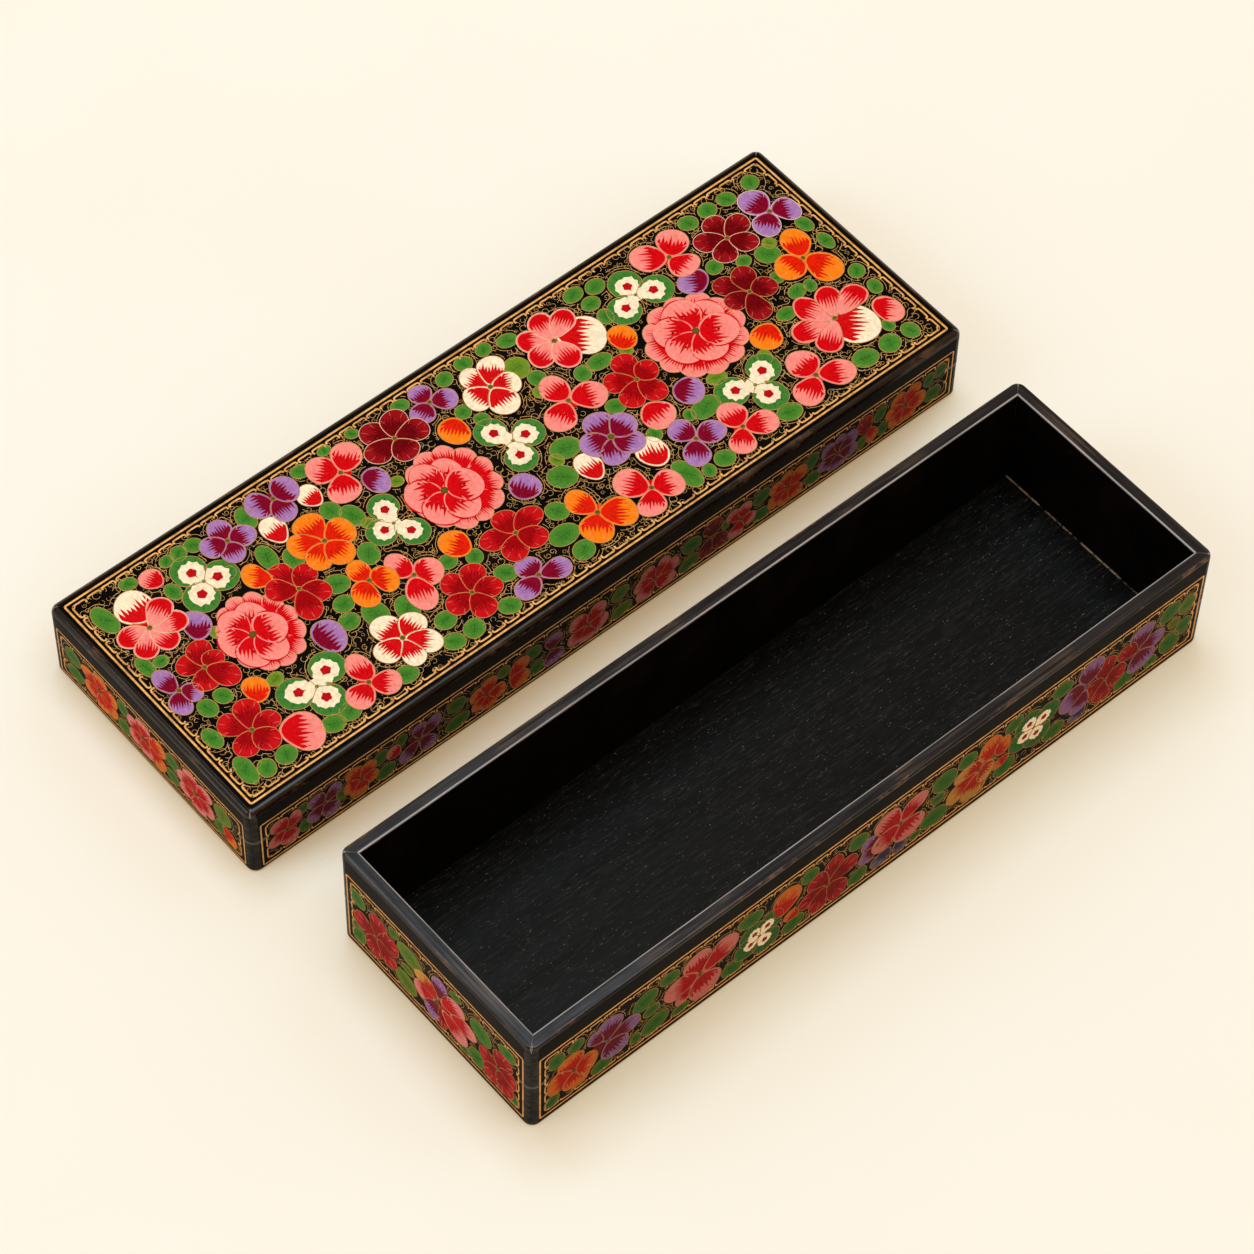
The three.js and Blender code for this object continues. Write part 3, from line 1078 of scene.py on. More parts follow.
        Rosette(((-100.6, -23.1), (-89.7, -21.9), (-95.3, -29.4))),
        Rosette(((-40.6, 12), (-45.3, 6.2), (-39.2, 1.2)), 4.9, 3.5),
        Rosette(((2.2, 13.2), (9.4, 7), (3.2, 2)), 5.2, 3.8),
        Rosette(((69.7, 30.6), (63.9, 24.4), (75.1, 24.6)), 5.5, 3.8),
        Rosette(((68.7, -20.9), (80, -20.3), (75.6, -28.2)), 5.5, 3.8),
    ),
    peonies=(
        Peony((-95.6, 1), 12.9, 15.3, (-98.3, 1.3)),
        Peony((-19.4, 5.4), 14.8, 16.4, (-22.6, 6.1)),
        Peony((73.6, 3), 17, 16.4, (74.4, 4)),
    ),
)

BASE_FRONT = Layout(
    half_u=124.9,
    low=4.4,
    high=33.2,
    flowers=(
        Flower(ORANGE, (-114.6, 16.2), ((-115.7, 21.6, 4.7, 4.2), (-120.6, 15.4, 3.7, 5.2),
            (-113.6, 10.8, 5, 4.4), (-109.9, 15.4, 3.8, 5.2))),
        Flower(PURPLE, (-102.4, 18.8), ((-101.9, 26, 4.9, 4.7), (-107.3, 25.4, 2.4, 3.2),
            (-94.9, 19.4, 4.4, 3.9), (-99.6, 12.8, 5, 4.6))),
        Flower(PINK, (-68.6, 18.4), ((-69.6, 26, 5.2, 5), (-76.2, 19, 5.6, 5.4), (-74.9, 11.6, 2.6, 2.5),
            (-66.6, 11, 6, 6.2), (-59.5, 23.9, 4.9, 5.3))),
        bud(ORANGE, -36.2, 24, 5.4, 6, (-3, -7)),
        bud(ORANGE, -34.1, 13.9, 2.8, 2.6, (3, -3)),
        Flower(CRIMSON, (-20.3, 16), ((-18.4, 24, 3.8, 4.7), (-24.5, 21.6, 3.8, 4.2),
            (-13.2, 19.2, 4.2, 4.2), (-27.7, 15, 3.7, 3.9), (-23.4, 10.2, 4, 4.9), (-16.5, 9.8, 3.8, 4.9))),
        Flower(PURPLE, (-1.2, 17.6), ((-4.4, 21.4, 3.4, 3.4), (-5, 15.4, 3.4, 3.4))),
        bud(STEEL, 0.6, 8, 4, 3.2, (3, 4)),
        bud(STEEL, 8.3, 7.2, 2.9, 2.6, (-2, 4)),
        Flower(PINK, (7.4, 20.4), ((2.1, 26.2, 5, 5.3), (13, 26.2, 4.7, 3.9), (10.9, 15, 6.2, 5.4),
            (1, 17.2, 4.4, 5))),
        Flower(YELLOW, (38.4, 17.8), ((34.2, 20.6, 6, 3.9), (30.4, 13.6, 4.6, 4.6), (36.6, 9.6, 4.9, 4.6),
            (40.8, 15.2, 3.4, 5.4))),
        Flower(ORANGE, (43.9, 19.8), ((42.2, 25.4, 4.6, 5.6), (47.4, 22, 3.1, 4.6))),
        bud(ORANGE, 46.8, 13.2, 2.9, 2.4, (4, 2)),
        Flower(PURPLE, (81, 21), ((82.2, 27.6, 5.1, 5.4), (75.4, 19.2, 5.2, 6.2), (78.6, 13, 3.8, 3.4))),
        bud(STEEL, 78.4, 7.8, 3.4, 2.7, (3, 4)),
        Flower(CRIMSON, (88.8, 17.2), ((88.4, 23.6, 4.2, 4.6), (84.6, 15.4, 3.9, 5), (89, 10.6, 4.5, 4.4),
            (93.4, 15.4, 3.9, 5))),
        bud(CRIMSON, 96.9, 23.2, 3.7, 3.7, (5, -4)),
        Flower(PURPLE, (101.6, 19.4), ((102.6, 27, 4.8, 4.7), (108.7, 19.6, 4, 3.9), (104, 13, 5.6, 4.7))),
    ),
    leaves=leaf_rows(
        Leafage.GREEN,
        (-120.8, 28, 3, 3.8), (-113.8, 28.8, 3, 2.8), (-122.5, 7.6, 2.7, 3), (-104.3, 7.4, 4, 3.3),
        (-88.7, 25.5, 4.3, 4.6), (-86.3, 17.8, 2.8, 3), (-84.7, 9.4, 4.8, 4.4), (-79.9, 28.4, 3.5, 3),
        (-92, 8.4, 2, 2.6), (-75.4, 6.6, 3.4, 2.2), (-49.8, 27.4, 4.6, 3.4), (-56, 8, 3.9, 3.8),
        (-33, 8, 4.3, 3.4), (-27.6, 28, 3.4, 3.3), (-9.2, 27.2, 3.7, 3.7), (-8.4, 8, 3.7, 3.6),
        (24.3, 25.8, 4.7, 4.9), (33, 27.8, 3.8, 3.4), (22.2, 18.6, 2.6, 2.5), (21.3, 9.6, 4.9, 4.6),
        (14.2, 7.2, 2.2, 2), (49.2, 9, 4.4, 3.8), (51.2, 29, 3.5, 3.3), (70.6, 28.6, 3.9, 3.6),
        (69, 8.6, 4, 3.9), (97.9, 8.2, 4.4, 3.6), (108.7, 7.6, 2.6, 2.6), (113.9, 28, 4, 4.2),
        (116, 10.8, 3.9, 5), (121.2, 14.8, 3.2, 4.2),
    )
    + leaf_rows(
        Leafage.OLIVE,
        (121.5, 25.6, 3.4, 4.6), (116.8, 20, 2.3, 2.5),
    ),
    rosettes=(
        Rosette(((-48, 17.8), (-43.2, 18), (-49.4, 13.6), (-44, 11.2)), 5.2, 2.6),
        Rosette(((57.8, 22.8), (63.6, 21.4), (61.2, 15.4), (56.4, 17.8)), 5.4, 2.8),
    ),
)

BASE_LEFT = Layout(
    half_u=36.8,
    low=4.4,
    high=33.2,
    flowers=(
        Flower(CRIMSON, (-25.6, 17.6), ((-24.7, 24.8, 3.9, 4.5), (-19.4, 20.8, 3.8, 4.4),
            (-31.6, 18, 4, 4.6), (-26.8, 10.9, 4, 4.6), (-20.4, 13, 3.8, 4.4))),
        bud(PURPLE, 2.6, 26.5, 3.4, 4.4, (-1, -7)),
        Flower(YELLOW, (1.6, 17.4), ((-3.9, 21.4, 4.7, 3.6),), eye=0),
        Flower(PINK, (1.6, 17.2), ((-5.8, 14.6, 3.2, 4.3), (9.4, 23.6, 4.3, 4.2), (14.6, 18.6, 4, 3.7),
            (10.4, 11.4, 4.4, 4.2)), eye=1.4),
        bud(PURPLE, -1, 9.8, 3.5, 4.3, (3, 7)),
        bud(CRIMSON, 3.6, 9.2, 2, 3.6, (-1, 7)),
        Flower(CRIMSON, (28, 15.8), ((30.1, 22, 4.2, 4), (23.4, 15.6, 3.6, 4.4), (33, 16, 3.2, 4.2),
            (25.6, 9.6, 4, 4.4), (31.2, 9.6, 3.8, 4.4))),
    ),
    leaves=leaf_rows(
        Leafage.GREEN,
        (-33.8, 27.8, 3.4, 3.7), (-34, 8.4, 3, 4.2), (-17.7, 29.6, 2.4, 2.2), (-35, 12.8, 1.6, 2),
        (20.5, 25, 4.6, 4.7), (18.5, 8.9, 3.4, 4.4), (31.9, 28.6, 4, 2.9), (34.6, 7.8, 2, 3),
        (9.6, 30.2, 2.6, 2), (12.6, 6.6, 2.6, 2),
    )
    + leaf_rows(
        Leafage.OLIVE,
        (-10.6, 25.4, 5.2, 4.8), (-12.8, 9.8, 4.6, 4.6), (-11.8, 17.4, 2.6, 2.2),
    ),
)

LID_FRONT = Layout(
    half_u=132.6,
    low=3.4,
    high=20.9,
    flowers=(
        Flower(PINK, (-125.4, 12.4), ((-128, 16.4, 3.4, 2.9), (-129, 9.8, 3.2, 3), (-124.4, 7.2, 3.4, 3),
            (-122.2, 15.6, 2.2, 3.2))),
        Flower(PURPLE, (-111.6, 12.4), ((-114.4, 16, 3.2, 3), (-115.2, 9.6, 3, 3.2),
            (-109.3, 7.3, 3.2, 2.9), (-107.8, 15.9, 2.6, 3))),
        Flower(ORANGE, (-98.2, 11.9), ((-100.6, 16.7, 3.2, 3), (-95.4, 15.2, 3, 3), (-94.6, 9.7, 2.8, 2.9),
            (-98.9, 7.4, 3.5, 3), (-102.4, 11.4, 2.2, 3.2))),
        bud(PINK, -86.2, 14, 2.6, 3, (3, -3)),
        Flower(PURPLE, (-76.4, 11.8), ((-76.4, 16.7, 2.7, 2.8), (-71, 15.6, 2.8, 3.3), (-81.3, 8, 3, 3.3),
            (-73.3, 7.2, 3, 3.3))),
        Flower(ORANGE, (-51.2, 10.8), ((-54.7, 13.4, 2.7, 3.2), (-50.3, 15.4, 3.1, 3.2), (-54, 8.4, 3, 2.9),
            (-50.4, 5.8, 3.2, 2.6), (-46.4, 9, 2.4, 3.4))),
        Flower(ORANGE, (-42.6, 10.6), ((-38.4, 14, 3.6, 3.6), (-38.4, 7.2, 3.6, 3.8)), eye=0.5),
        Flower(PURPLE, (-26.6, 10.8), ((-25.6, 14.9, 3.3, 3.2), (-25.5, 6.7, 4, 3.4))),
        Flower(PINK, (-12.4, 11.2), ((-16.1, 15, 3.7, 3.5), (-8.7, 15.3, 3.6, 3.5), (-17, 8.2, 3.3, 3.2),
            (-12.3, 5.9, 3.6, 2.8), (-7.4, 8.9, 2.9, 3.4))),
        Flower(PINK, (13.8, 11), ((11.1, 15.8, 2.8, 3), (8.4, 11.6, 2.8, 3.2), (9.8, 6.8, 3.4, 3),
            (17.2, 15.8, 2.7, 3.2), (20.6, 12.4, 2.6, 3.2), (18.4, 6.9, 3.6, 3.2))),
        Flower(DARK_CRIMSON, (36.6, 12.2), ((36.8, 16.8, 4, 3.4), (34.2, 7.8, 3, 3.6), (39.6, 8, 3, 3.7))),
        Flower(PINK, (48.2, 11.2), ((44.7, 15.4, 2.6, 2.9), (49.4, 15, 2.9, 3.2), (46.3, 6.8, 3.3, 3.2),
            (51.4, 8.9, 2.6, 2.8))),
        Flower(ORANGE, (67.2, 11), ((62.4, 14.2, 3, 3), (66.4, 16.2, 2.6, 3), (61.6, 8.2, 2.8, 3.2),
            (65.6, 6, 2.6, 2.8), (70.2, 6.6, 3, 3), (71.4, 14.4, 3.1, 3.4))),
        Flower(PURPLE, (87.2, 11), ((83.2, 15.3, 2.8, 3.2), (87.8, 16.2, 2.4, 3), (82.2, 9.2, 3, 3),
            (87, 6.2, 3.6, 2.8), (92.2, 14.4, 3, 3.5), (92.3, 8.6, 3, 3))),
        bud(CRIMSON, 98, 16, 3.2, 3.8, (2, -6)),
        bud(ORANGE, 101.5, 8, 2.5, 3.3, (-2, 5)),
        Flower(ORANGE, (115.2, 11.6), ((112, 16.6, 3.2, 3.1), (118, 16.6, 3.3, 3.1), (109.7, 12, 3, 3.2),
            (111.2, 7.2, 3.1, 2.9), (116.4, 6.4, 3.2, 2.8), (120.4, 10.4, 3.1, 3.6))),
    ),
    leaves=leaf_rows(
        Leafage.GREEN,
        (-119.4, 17, 2.1, 2.3), (-118.6, 7.6, 2.4, 3), (-90.8, 15.6, 2.6, 3.3), (-89.2, 6.9, 3.4, 3.3),
        (-83, 17.2, 2.2, 2.4), (-62.4, 15.9, 3.3, 3.2), (-62.3, 7, 4.3, 3.4), (-33.4, 15.6, 3.1, 3.1),
        (-32.2, 6.8, 2.9, 3), (28.4, 15, 3.5, 3.6), (27.6, 6.6, 4, 3.3), (56.2, 15.2, 3.1, 3.5),
        (56.2, 6.4, 3.4, 3.2), (76.4, 15.9, 2.8, 3.6), (77.2, 6.8, 3.1, 3.1), (104.3, 15.8, 2.4, 3.4),
        (106, 7.4, 2, 3.4), (124.6, 16.2, 2.2, 3.2), (129.2, 17.2, 2.4, 3), (126.7, 7.8, 3.4, 3.6),
    )
    + leaf_rows(
        Leafage.OLIVE,
        (-105, 10.6, 2.2, 3.1), (-44.6, 16.2, 2.6, 2.6), (0.2, 15.4, 3.2, 3.4), (1, 6.6, 3.8, 3.2),
        (97.2, 7.4, 2, 2.9), (41.9, 13.6, 1.5, 2.6),
    ),
)

LID_LEFT = Layout(
    half_u=42.6,
    low=3.4,
    high=20.9,
    flowers=(
        Flower(ORANGE, (-24.2, 12.6), ((-29.5, 15.6, 3.4, 3), (-23.6, 17.6, 3.6, 3), (-18.4, 14.6, 3, 3.6),
            (-28.3, 9.2, 3.5, 3.4), (-22.8, 6.6, 3.4, 2.8), (-18.6, 9, 3, 3.2))),
        Flower(PINK, (-3.6, 12), ((-3, 17.4, 3.5, 2.9), (-7.9, 14.6, 3, 3.2), (-7, 8.4, 3.4, 3.2),
            (-2, 6.8, 3, 2.8))),
        Flower(ORANGE, (-0.4, 11.8), ((4, 15.2, 3.8, 3.7), (3.9, 8, 3.6, 3.6)), eye=0),
        Flower(PINK, (22, 12), ((19.6, 17.6, 3.7, 2.9), (26.4, 16.8, 3.4, 3.2), (15.7, 13.6, 2.7, 3.2),
            (17.2, 8.6, 3.2, 3), (22.9, 6.4, 3.5, 2.8), (27.8, 10.2, 2.8, 3.4))),
        bud(ORANGE, 38, 6.8, 2.6, 3.2, (-4, 4)),
    ),
    leaves=leaf_rows(
        Leafage.GREEN,
        (-37, 15.6, 3.5, 3.8), (-36.6, 7.6, 3.8, 3.3), (-12.6, 16.6, 2.6, 3.6), (-12.8, 7, 2.8, 3.6),
        (10.8, 15.6, 2.8, 3.5), (10.4, 7.6, 2.9, 3.2), (33, 8, 2.6, 3.2),
    )
    + leaf_rows(
        Leafage.OLIVE,
        (34.6, 15.6, 4.2, 4),
    ),
)

EXCHANGE = {
    PINK: ORANGE,
    ORANGE: PINK,
    CRIMSON: PURPLE,
    PURPLE: CRIMSON,
    YELLOW: CREAM,
    DARK_CRIMSON: CRIMSON,
}


# The painting of one face: widths, and heights above the lacquer or above the shape below, in millimetres

FLAME_RISE = 0.05
VEIN_RISE = 0.065
VEIN_STEP = 0.0007
VEIN_WIDTH = 0.24
STREAK_RISE = 0.062
STREAK_WIDTH = 0.3
TOUCH_RISE = 0.085
TOUCH_WIDTH = 0.4
FLOWER_STEP = 0.0037
EYE_RADIUS = 0.8
EYE_RISE = 0.06
LEAF_POINTS = 18
LEAF_VEIN_WIDTH = 0.26
LEAF_SIDE_VEIN_WIDTH = 0.18
LOBE_STEP = 0.01
ROSETTE_EYE_RADIUS = 0.6
PEONY_EYE_RADIUS = 1.2
PEONY_LAYER = 0.045
OUTLINE_HEIGHT = 0.1
FRAME_HEIGHT = 0.09
FRAME_LEVEL = 0.01
FRAME_CORNER = 0.5
CUSP_LENGTH = 5.2
CUSP_GAP = 0.35
SCROLL_HEIGHT = 0.08
ECHO_LEVEL = 0.015
CURL_LEVEL = 0.02
FRAME_MARGIN = 0.7
GRID_INSET = 1.1


@dataclass(frozen=True)
class Brushwork:
    """How one kind of face is painted; widths, gaps and heights in millimetres."""

    frame_gap: float
    frame_line: float
    cusped_line: float
    outline: float = 0.25
    scroll_line: float = 0.17
    petal_level: float = 0.06
    layer: float = 0.045
    petal_growth: float = 1.02
    leaf_growth: float = 1.02
    streak_start: float = 0.5
    streak_pale: float = 0.3
    cream_lift: float = 1.0
    curl_spacing: float = 3.3
    curl_radius: float = 0.95


LID_TOP_BRUSHWORK = Brushwork(
    frame_gap=1.45,
    frame_line=0.84,
    cusped_line=0.74,
    petal_growth=1.12,
    leaf_growth=1.08,
    streak_start=0.64,
    streak_pale=0.12,
    curl_spacing=2.45,
)
BASE_SIDE_BRUSHWORK = Brushwork(frame_gap=1.8, frame_line=0.75, cusped_line=0.62, cream_lift=1.9)
LID_SIDE_BRUSHWORK = Brushwork(frame_gap=1.7, frame_line=0.65, cusped_line=0.55)


@dataclass
class PaintedFace:
    """One painted face: flowers, leaves and a scrolled ground inside a gold frame."""

    name: str
    body: str
    layout: Layout
    placing: Matrix
    seed: int
    paints: PaintBox
    brushes: Brushwork
    outlines: list[Path] = field(default_factory=list)
    pale_outlines: list[Path] = field(default_factory=list)
    covered: list[tuple[float, float, float, float]] = field(default_factory=list)

    def __post_init__(self) -> None:
        """Starts the face's own random draws and its film of paint."""
        self.draw = random.Random(self.seed)
        self.film = Film(self.paints.varnish_and_shade)

    def petal_outline(self, petal: Sequence[float], centre: Point, count: int = 24) -> list[Point]:
        """A broad petal that draws in a little towards the flower's centre.

        Args:
            petal: Its middle, half width and half height.
            centre: The flower's centre.
            count: How many points it has.

        Returns:
            The outline, counter-clockwise.
        """
        u, v, half_u, half_v = petal
        away = (centre[0] - u, centre[1] - v)
        distance = math.hypot(*away) or 1
        inward = (away[0] / distance, away[1] / distance)
        across = (-inward[1], inward[0])
        reach = 1 / math.hypot(inward[0] / half_u, inward[1] / half_v)
        gap = min(distance - reach - 0.4, 0.9 * reach)
        phase = self.draw.uniform(0, FULL_TURN)
        outline = []
        for k in range(count):
            turn = FULL_TURN * k / count
            wobble = 1 + 0.03 * math.sin(3 * turn + phase)
            point = (half_u * math.cos(turn) * wobble, half_v * math.sin(turn) * wobble)
            towards = max(0, (point[0] * inward[0] + point[1] * inward[1]) / math.hypot(*point))
            pull = towards**2.5 * gap
            squeeze = 0.16 * towards**2 * (point[0] * across[0] + point[1] * across[1])
            axes = zip((u, v), point, inward, across)
            outline.append(tuple(middle + p + i * pull - a * squeeze for middle, p, i, a in axes))
        return outline

    def flame_outline(self, outline: Sequence[Point], root: Point, spikes: int = 8) -> list[Point]:
        """The dark part of a petal, combed out into thin points on its far side.

        Args:
            outline: The petal's outline.
            root: The place at the petal's edge, or just past it, that the points run from.
            spikes: How many points it has.

        Returns:
            The flame's outline.
        """
        middle = Vector(mean_point(outline))
        outward = (middle - Vector(root)).normalized()
        across = Vector((-outward.y, outward.x))
        local = [Vector(point) - middle for point in outline]
        reach = max(point.dot(outward) for point in local)
        half = max(abs(point.dot(across)) for point in local)
        inner = sorted((p.dot(across) * 0.9, p.dot(outward) * 0.9) for p in local if p.dot(outward) < 0)
        width = 0.86 * half

        def near_edge(side: float) -> float:
            """How far out the petal's near edge lies, so far to one side."""
            return float(np.interp(side, *zip(*inner)))

        comb = []
        for k in range(2 * spikes + 1):
            side = width * (k / spikes - 1)
            limit = reach * math.sqrt(1 - (side / half) ** 2)
            rise = self.draw.uniform(0.12, 0.62) if k % 2 else self.draw.uniform(-0.3, -0.1)
            comb.append(outward * max(limit * rise, near_edge(side) + 0.05 * reach) + across * side)
        sides = [width * (1 - k / 4) for k in range(9)]
        back = [outward * near_edge(side) + across * side for side in sides]
        return [tuple(middle + point) for point in comb + back]

    def paint_petal(
        self,
        outline: Sequence[Point],
        palette: Palette,
        root: Point,
        level: float,
        lines: list[Path] | None = None,
    ) -> None:
        """Paints a petal: its body colour, a flame with a combed edge, fine touches and an outline.

        Args:
            outline: The petal's outline, counter-clockwise.
            palette: Its colours.
            root: The point inside it that the flame starts from.
            level: The height that it is painted at.
            lines: The paths that its outline is added to; none where it has no line.
        """
        draw = self.draw
        film = self.film
        film.lay(outline, level, palette.rim, palette.petal, root, (0.0, 0.25, 0.6), 0.04)
        film.lay(self.flame_outline(outline, root), level + FLAME_RISE, palette.flame)
        vein = blend_colours(palette.vein, palette.flame, 0.35)
        streak = blend_colours(palette.rim, STREAK_WHITE, self.brushes.streak_pale)
        far = max(math.dist(root, point) for point in outline)
        for k in range(1, len(outline), 4):
            point = outline[k]
            if math.dist(root, point) < 0.6 * far:
                continue
            vein_tip = partway(root, point, draw.uniform(0.5, 0.62))
            vein_level = level + VEIN_RISE + VEIN_STEP * k
            film.stroke(partway(root, point, 0.15), vein_tip, VEIN_WIDTH, vein_level, vein)
            streak_tip = partway(root, point, self.brushes.streak_start)
            streak_foot = partway(root, point, 0.97)
            film.stroke(streak_foot, streak_tip, STREAK_WIDTH, level + STREAK_RISE, streak)
        for _ in range(palette.touches):
            share = draw.uniform(0.35, 0.7)
            start = partway(root, draw.choice(outline), share)
            end = (start[0] + draw.uniform(-0.5, 0.5), start[1] + draw.uniform(0.3, 0.7))
            film.stroke(start, end, TOUCH_WIDTH, level + TOUCH_RISE, palette.vein)
        if lines is not None:
            lines.append((outline, level, True))

    def cover(self, outline: Sequence[Point]) -> None:
        """Notes the space that a shape takes, so that no curl is drawn under it.

        Args:
            outline: The shape's outline.
        """
        us, vs = zip(*outline)
        middle = ((min(us) + max(us)) / 2, (min(vs) + max(vs)) / 2)
        self.covered.append((*middle, (max(us) - min(us)) / 2, (max(vs) - min(vs)) / 2))

    def paint_eye(self, centre: Point, radius: float, level: float) -> None:
        """Paints a flower's small brown and green middle inside a gold ring.

        Args:
            centre: Its centre.
            radius: Its radius.
            level: The height that it is painted at.
        """
        disc = ellipse(centre, radius, radius, 12)
        self.film.lay(disc, level + EYE_RISE, CENTRE_BROWN, CENTRE_GREEN, centre, (0.0, 0.6), 0.02)
        self.outlines.append((disc, level + EYE_RISE, True))

    def paint_flower(self, flower: Flower, number: int) -> None:
        """Paints a flower's petals, each a little above the last, and then its eye.

        Args:
            flower: The flower.
            number: Its place in the layout, so that no two neighbours are painted at one height.
        """
        palette = flower.pigment.value
        grow = self.brushes.petal_growth
        layer = self.brushes.layer
        lowest = self.brushes.petal_level + FLOWER_STEP * (number * 4 % 11)
        lines = self.pale_outlines if flower.pale_line else self.outlines
        if len(flower.petals) > 2:
            near = min(math.dist(flower.centre, petal[:2]) for petal in flower.petals)
            heart = near * (0.85 if len(flower.petals) > 3 else 0.55)
            self.film.lay(ellipse(flower.centre, heart, heart, 16), lowest - 0.01, palette.flame)
        for index, (u, v, half_u, half_v) in enumerate(flower.petals):
            outline = self.petal_outline((u, v, half_u * grow, half_v * grow), flower.centre)
            self.cover(outline)
            away = (flower.centre[0] - u, flower.centre[1] - v)
            distance = math.hypot(*away) or 1
            reach = 1 / math.hypot(away[0] / distance / half_u, away[1] / distance / half_v)
            share = (-1.0 if flower.flame_at_tip else 1.0) * reach / distance
            root = partway((u, v), flower.centre, share)
            self.paint_petal(outline, palette, root, lowest + layer * index, lines)
        if flower.eye:
            self.paint_eye(flower.centre, EYE_RADIUS * flower.eye, lowest + layer * len(flower.petals))

    def paint_leaf(self, leaf: Leaf) -> None:
        """Paints a leaf that points away from the nearest flower, with its veins.

        Args:
            leaf: The leaf.
        """
        middle = (leaf.u, leaf.v)
        centres = [flower.centre for flower in self.layout.flowers]
        near = min(centres, key=lambda centre: math.dist(centre, middle))
        towards = Vector((near[0] - leaf.u, near[1] - leaf.v)).normalized()
        body, rim, vein = leaf.leafage.value
        outline = []
        for k in range(LEAF_POINTS):
            turn = FULL_TURN * k / LEAF_POINTS
            point = Vector((leaf.half_u * math.cos(turn), leaf.half_v * math.sin(turn)))
            point *= self.brushes.leaf_growth
            along = point.dot(towards) / point.length
            point *= 1 + 0.1 * abs(along) ** 6 - 0.05 * (1 - abs(along))
            outline.append((leaf.u + point.x, leaf.v + point.y))
        self.cover(outline)
        level = self.brushes.petal_level - 0.02
        reach = 0.82 / math.hypot(towards.x / leaf.half_u, towards.y / leaf.half_v)
        base = (leaf.u + towards.x * reach, leaf.v + towards.y * reach)
        tip = (leaf.u - towards.x * reach, leaf.v - towards.y * reach)
        self.film.lay(outline, level, rim, body, middle, (0.0, 0.35, 0.75), 0.03)
        self.film.stroke(base, tip, LEAF_VEIN_WIDTH, level + 0.045, blend_colours(vein, body, 0.35))
        side = Vector((-towards.y, towards.x))
        side_vein = blend_colours(vein, body, 0.6)
        for share in (0.55, 0.1, -0.3):
            root = (leaf.u + towards.x * reach * share, leaf.v + towards.y * reach * share)
            for hand in (-1, 1):
                spread = hand * 0.62 * reach * (1 - abs(share) * 0.5)
                end_u = root[0] + side.x * spread - towards.x * reach * 0.35
                end_v = root[1] + side.y * spread - towards.y * reach * 0.35
                height = level + 0.04 + 0.001 * hand
                self.film.stroke(root, (end_u, end_v), LEAF_SIDE_VEIN_WIDTH, height, side_vein)
        self.outlines.append((outline, level, True))

    def paint_rosette(self, rosette: Rosette) -> None:
        """Paints the green lobes, then a cream lobe with a red dot on each.

        Args:
            rosette: The rosette.
        """
        body, rim, vein = Leafage.BLUE_GREEN.value
        level = self.brushes.petal_level
        centre = mean_point(rosette.dots)
        outward = [Vector((u - centre[0], v - centre[1])).normalized() for u, v in rosette.dots]
        for index, ((u, v), out) in enumerate(zip(rosette.dots, outward)):
            middle = (u + out.x * 1.1, v + out.y * 1.1)
            lobe = scalloped(middle, rosette.ground, 6, 0.015, 0)
            self.cover(lobe)
            lobe_level = level + LOBE_STEP * index
            self.film.lay(lobe, lobe_level, rim, body, middle, (0.0, 0.3, 0.7), 0.03)
            for spread in (-1.1, -0.45, 0.2, 0.85):
                tip = on_ellipse((u, v), rosette.ground, rosette.ground, math.atan2(out.y, out.x) + spread)
                self.film.stroke(partway((u, v), tip, 0.6), tip, 0.2, level + 0.05, vein)
            self.outlines.append((lobe, lobe_level, True))
        level += 0.05
        dot = 0.375 * rosette.lobe
        stem = 0.65 * rosette.lobe
        cream = scaled(PETAL_CREAM, self.brushes.cream_lift)
        waist = 0.62 * min(math.dist(centre, middle) for middle in rosette.dots)
        self.film.lay(ellipse(centre, waist, waist, 16), level + 0.018, cream)
        for (u, v), out in zip(rosette.dots, outward):
            level += 0.003
            petal = (u - out.x * 0.1, v - out.y * 0.1, rosette.lobe * 1.06, rosette.lobe * 1.06)
            ragged = []
            for k, point in enumerate(self.petal_outline(petal, centre, 22)):
                share = 1 - 0.12 * (k % 2) + self.draw.uniform(-0.05, 0.07)
                ragged.append(partway((u, v), point, share))
            self.film.lay(ragged, level + 0.02, cream, cream, (u, v), (0.0, 0.5), 0.01)
            facing = math.atan2(out.y, out.x)
            self.film.lay(scalloped((u, v), dot, 5, 0.12, facing), level + 0.06, DOT_RED)
            self.film.stroke((u, v), (u - out.x * stem, v - out.y * stem), 0.4, level + 0.055, DOT_RED)
        for first, second in zip(outward, outward[1:] + outward[:1]):
            between = (first + second).normalized() * 5.5
            line = (centre, (centre[0] + between.x, centre[1] + between.y))
            self.outlines.append((line, level + 0.06, False))
        eye = ellipse(centre, ROSETTE_EYE_RADIUS, ROSETTE_EYE_RADIUS, 10)
        self.film.lay(eye, level + 0.09, CENTRE_GREEN)

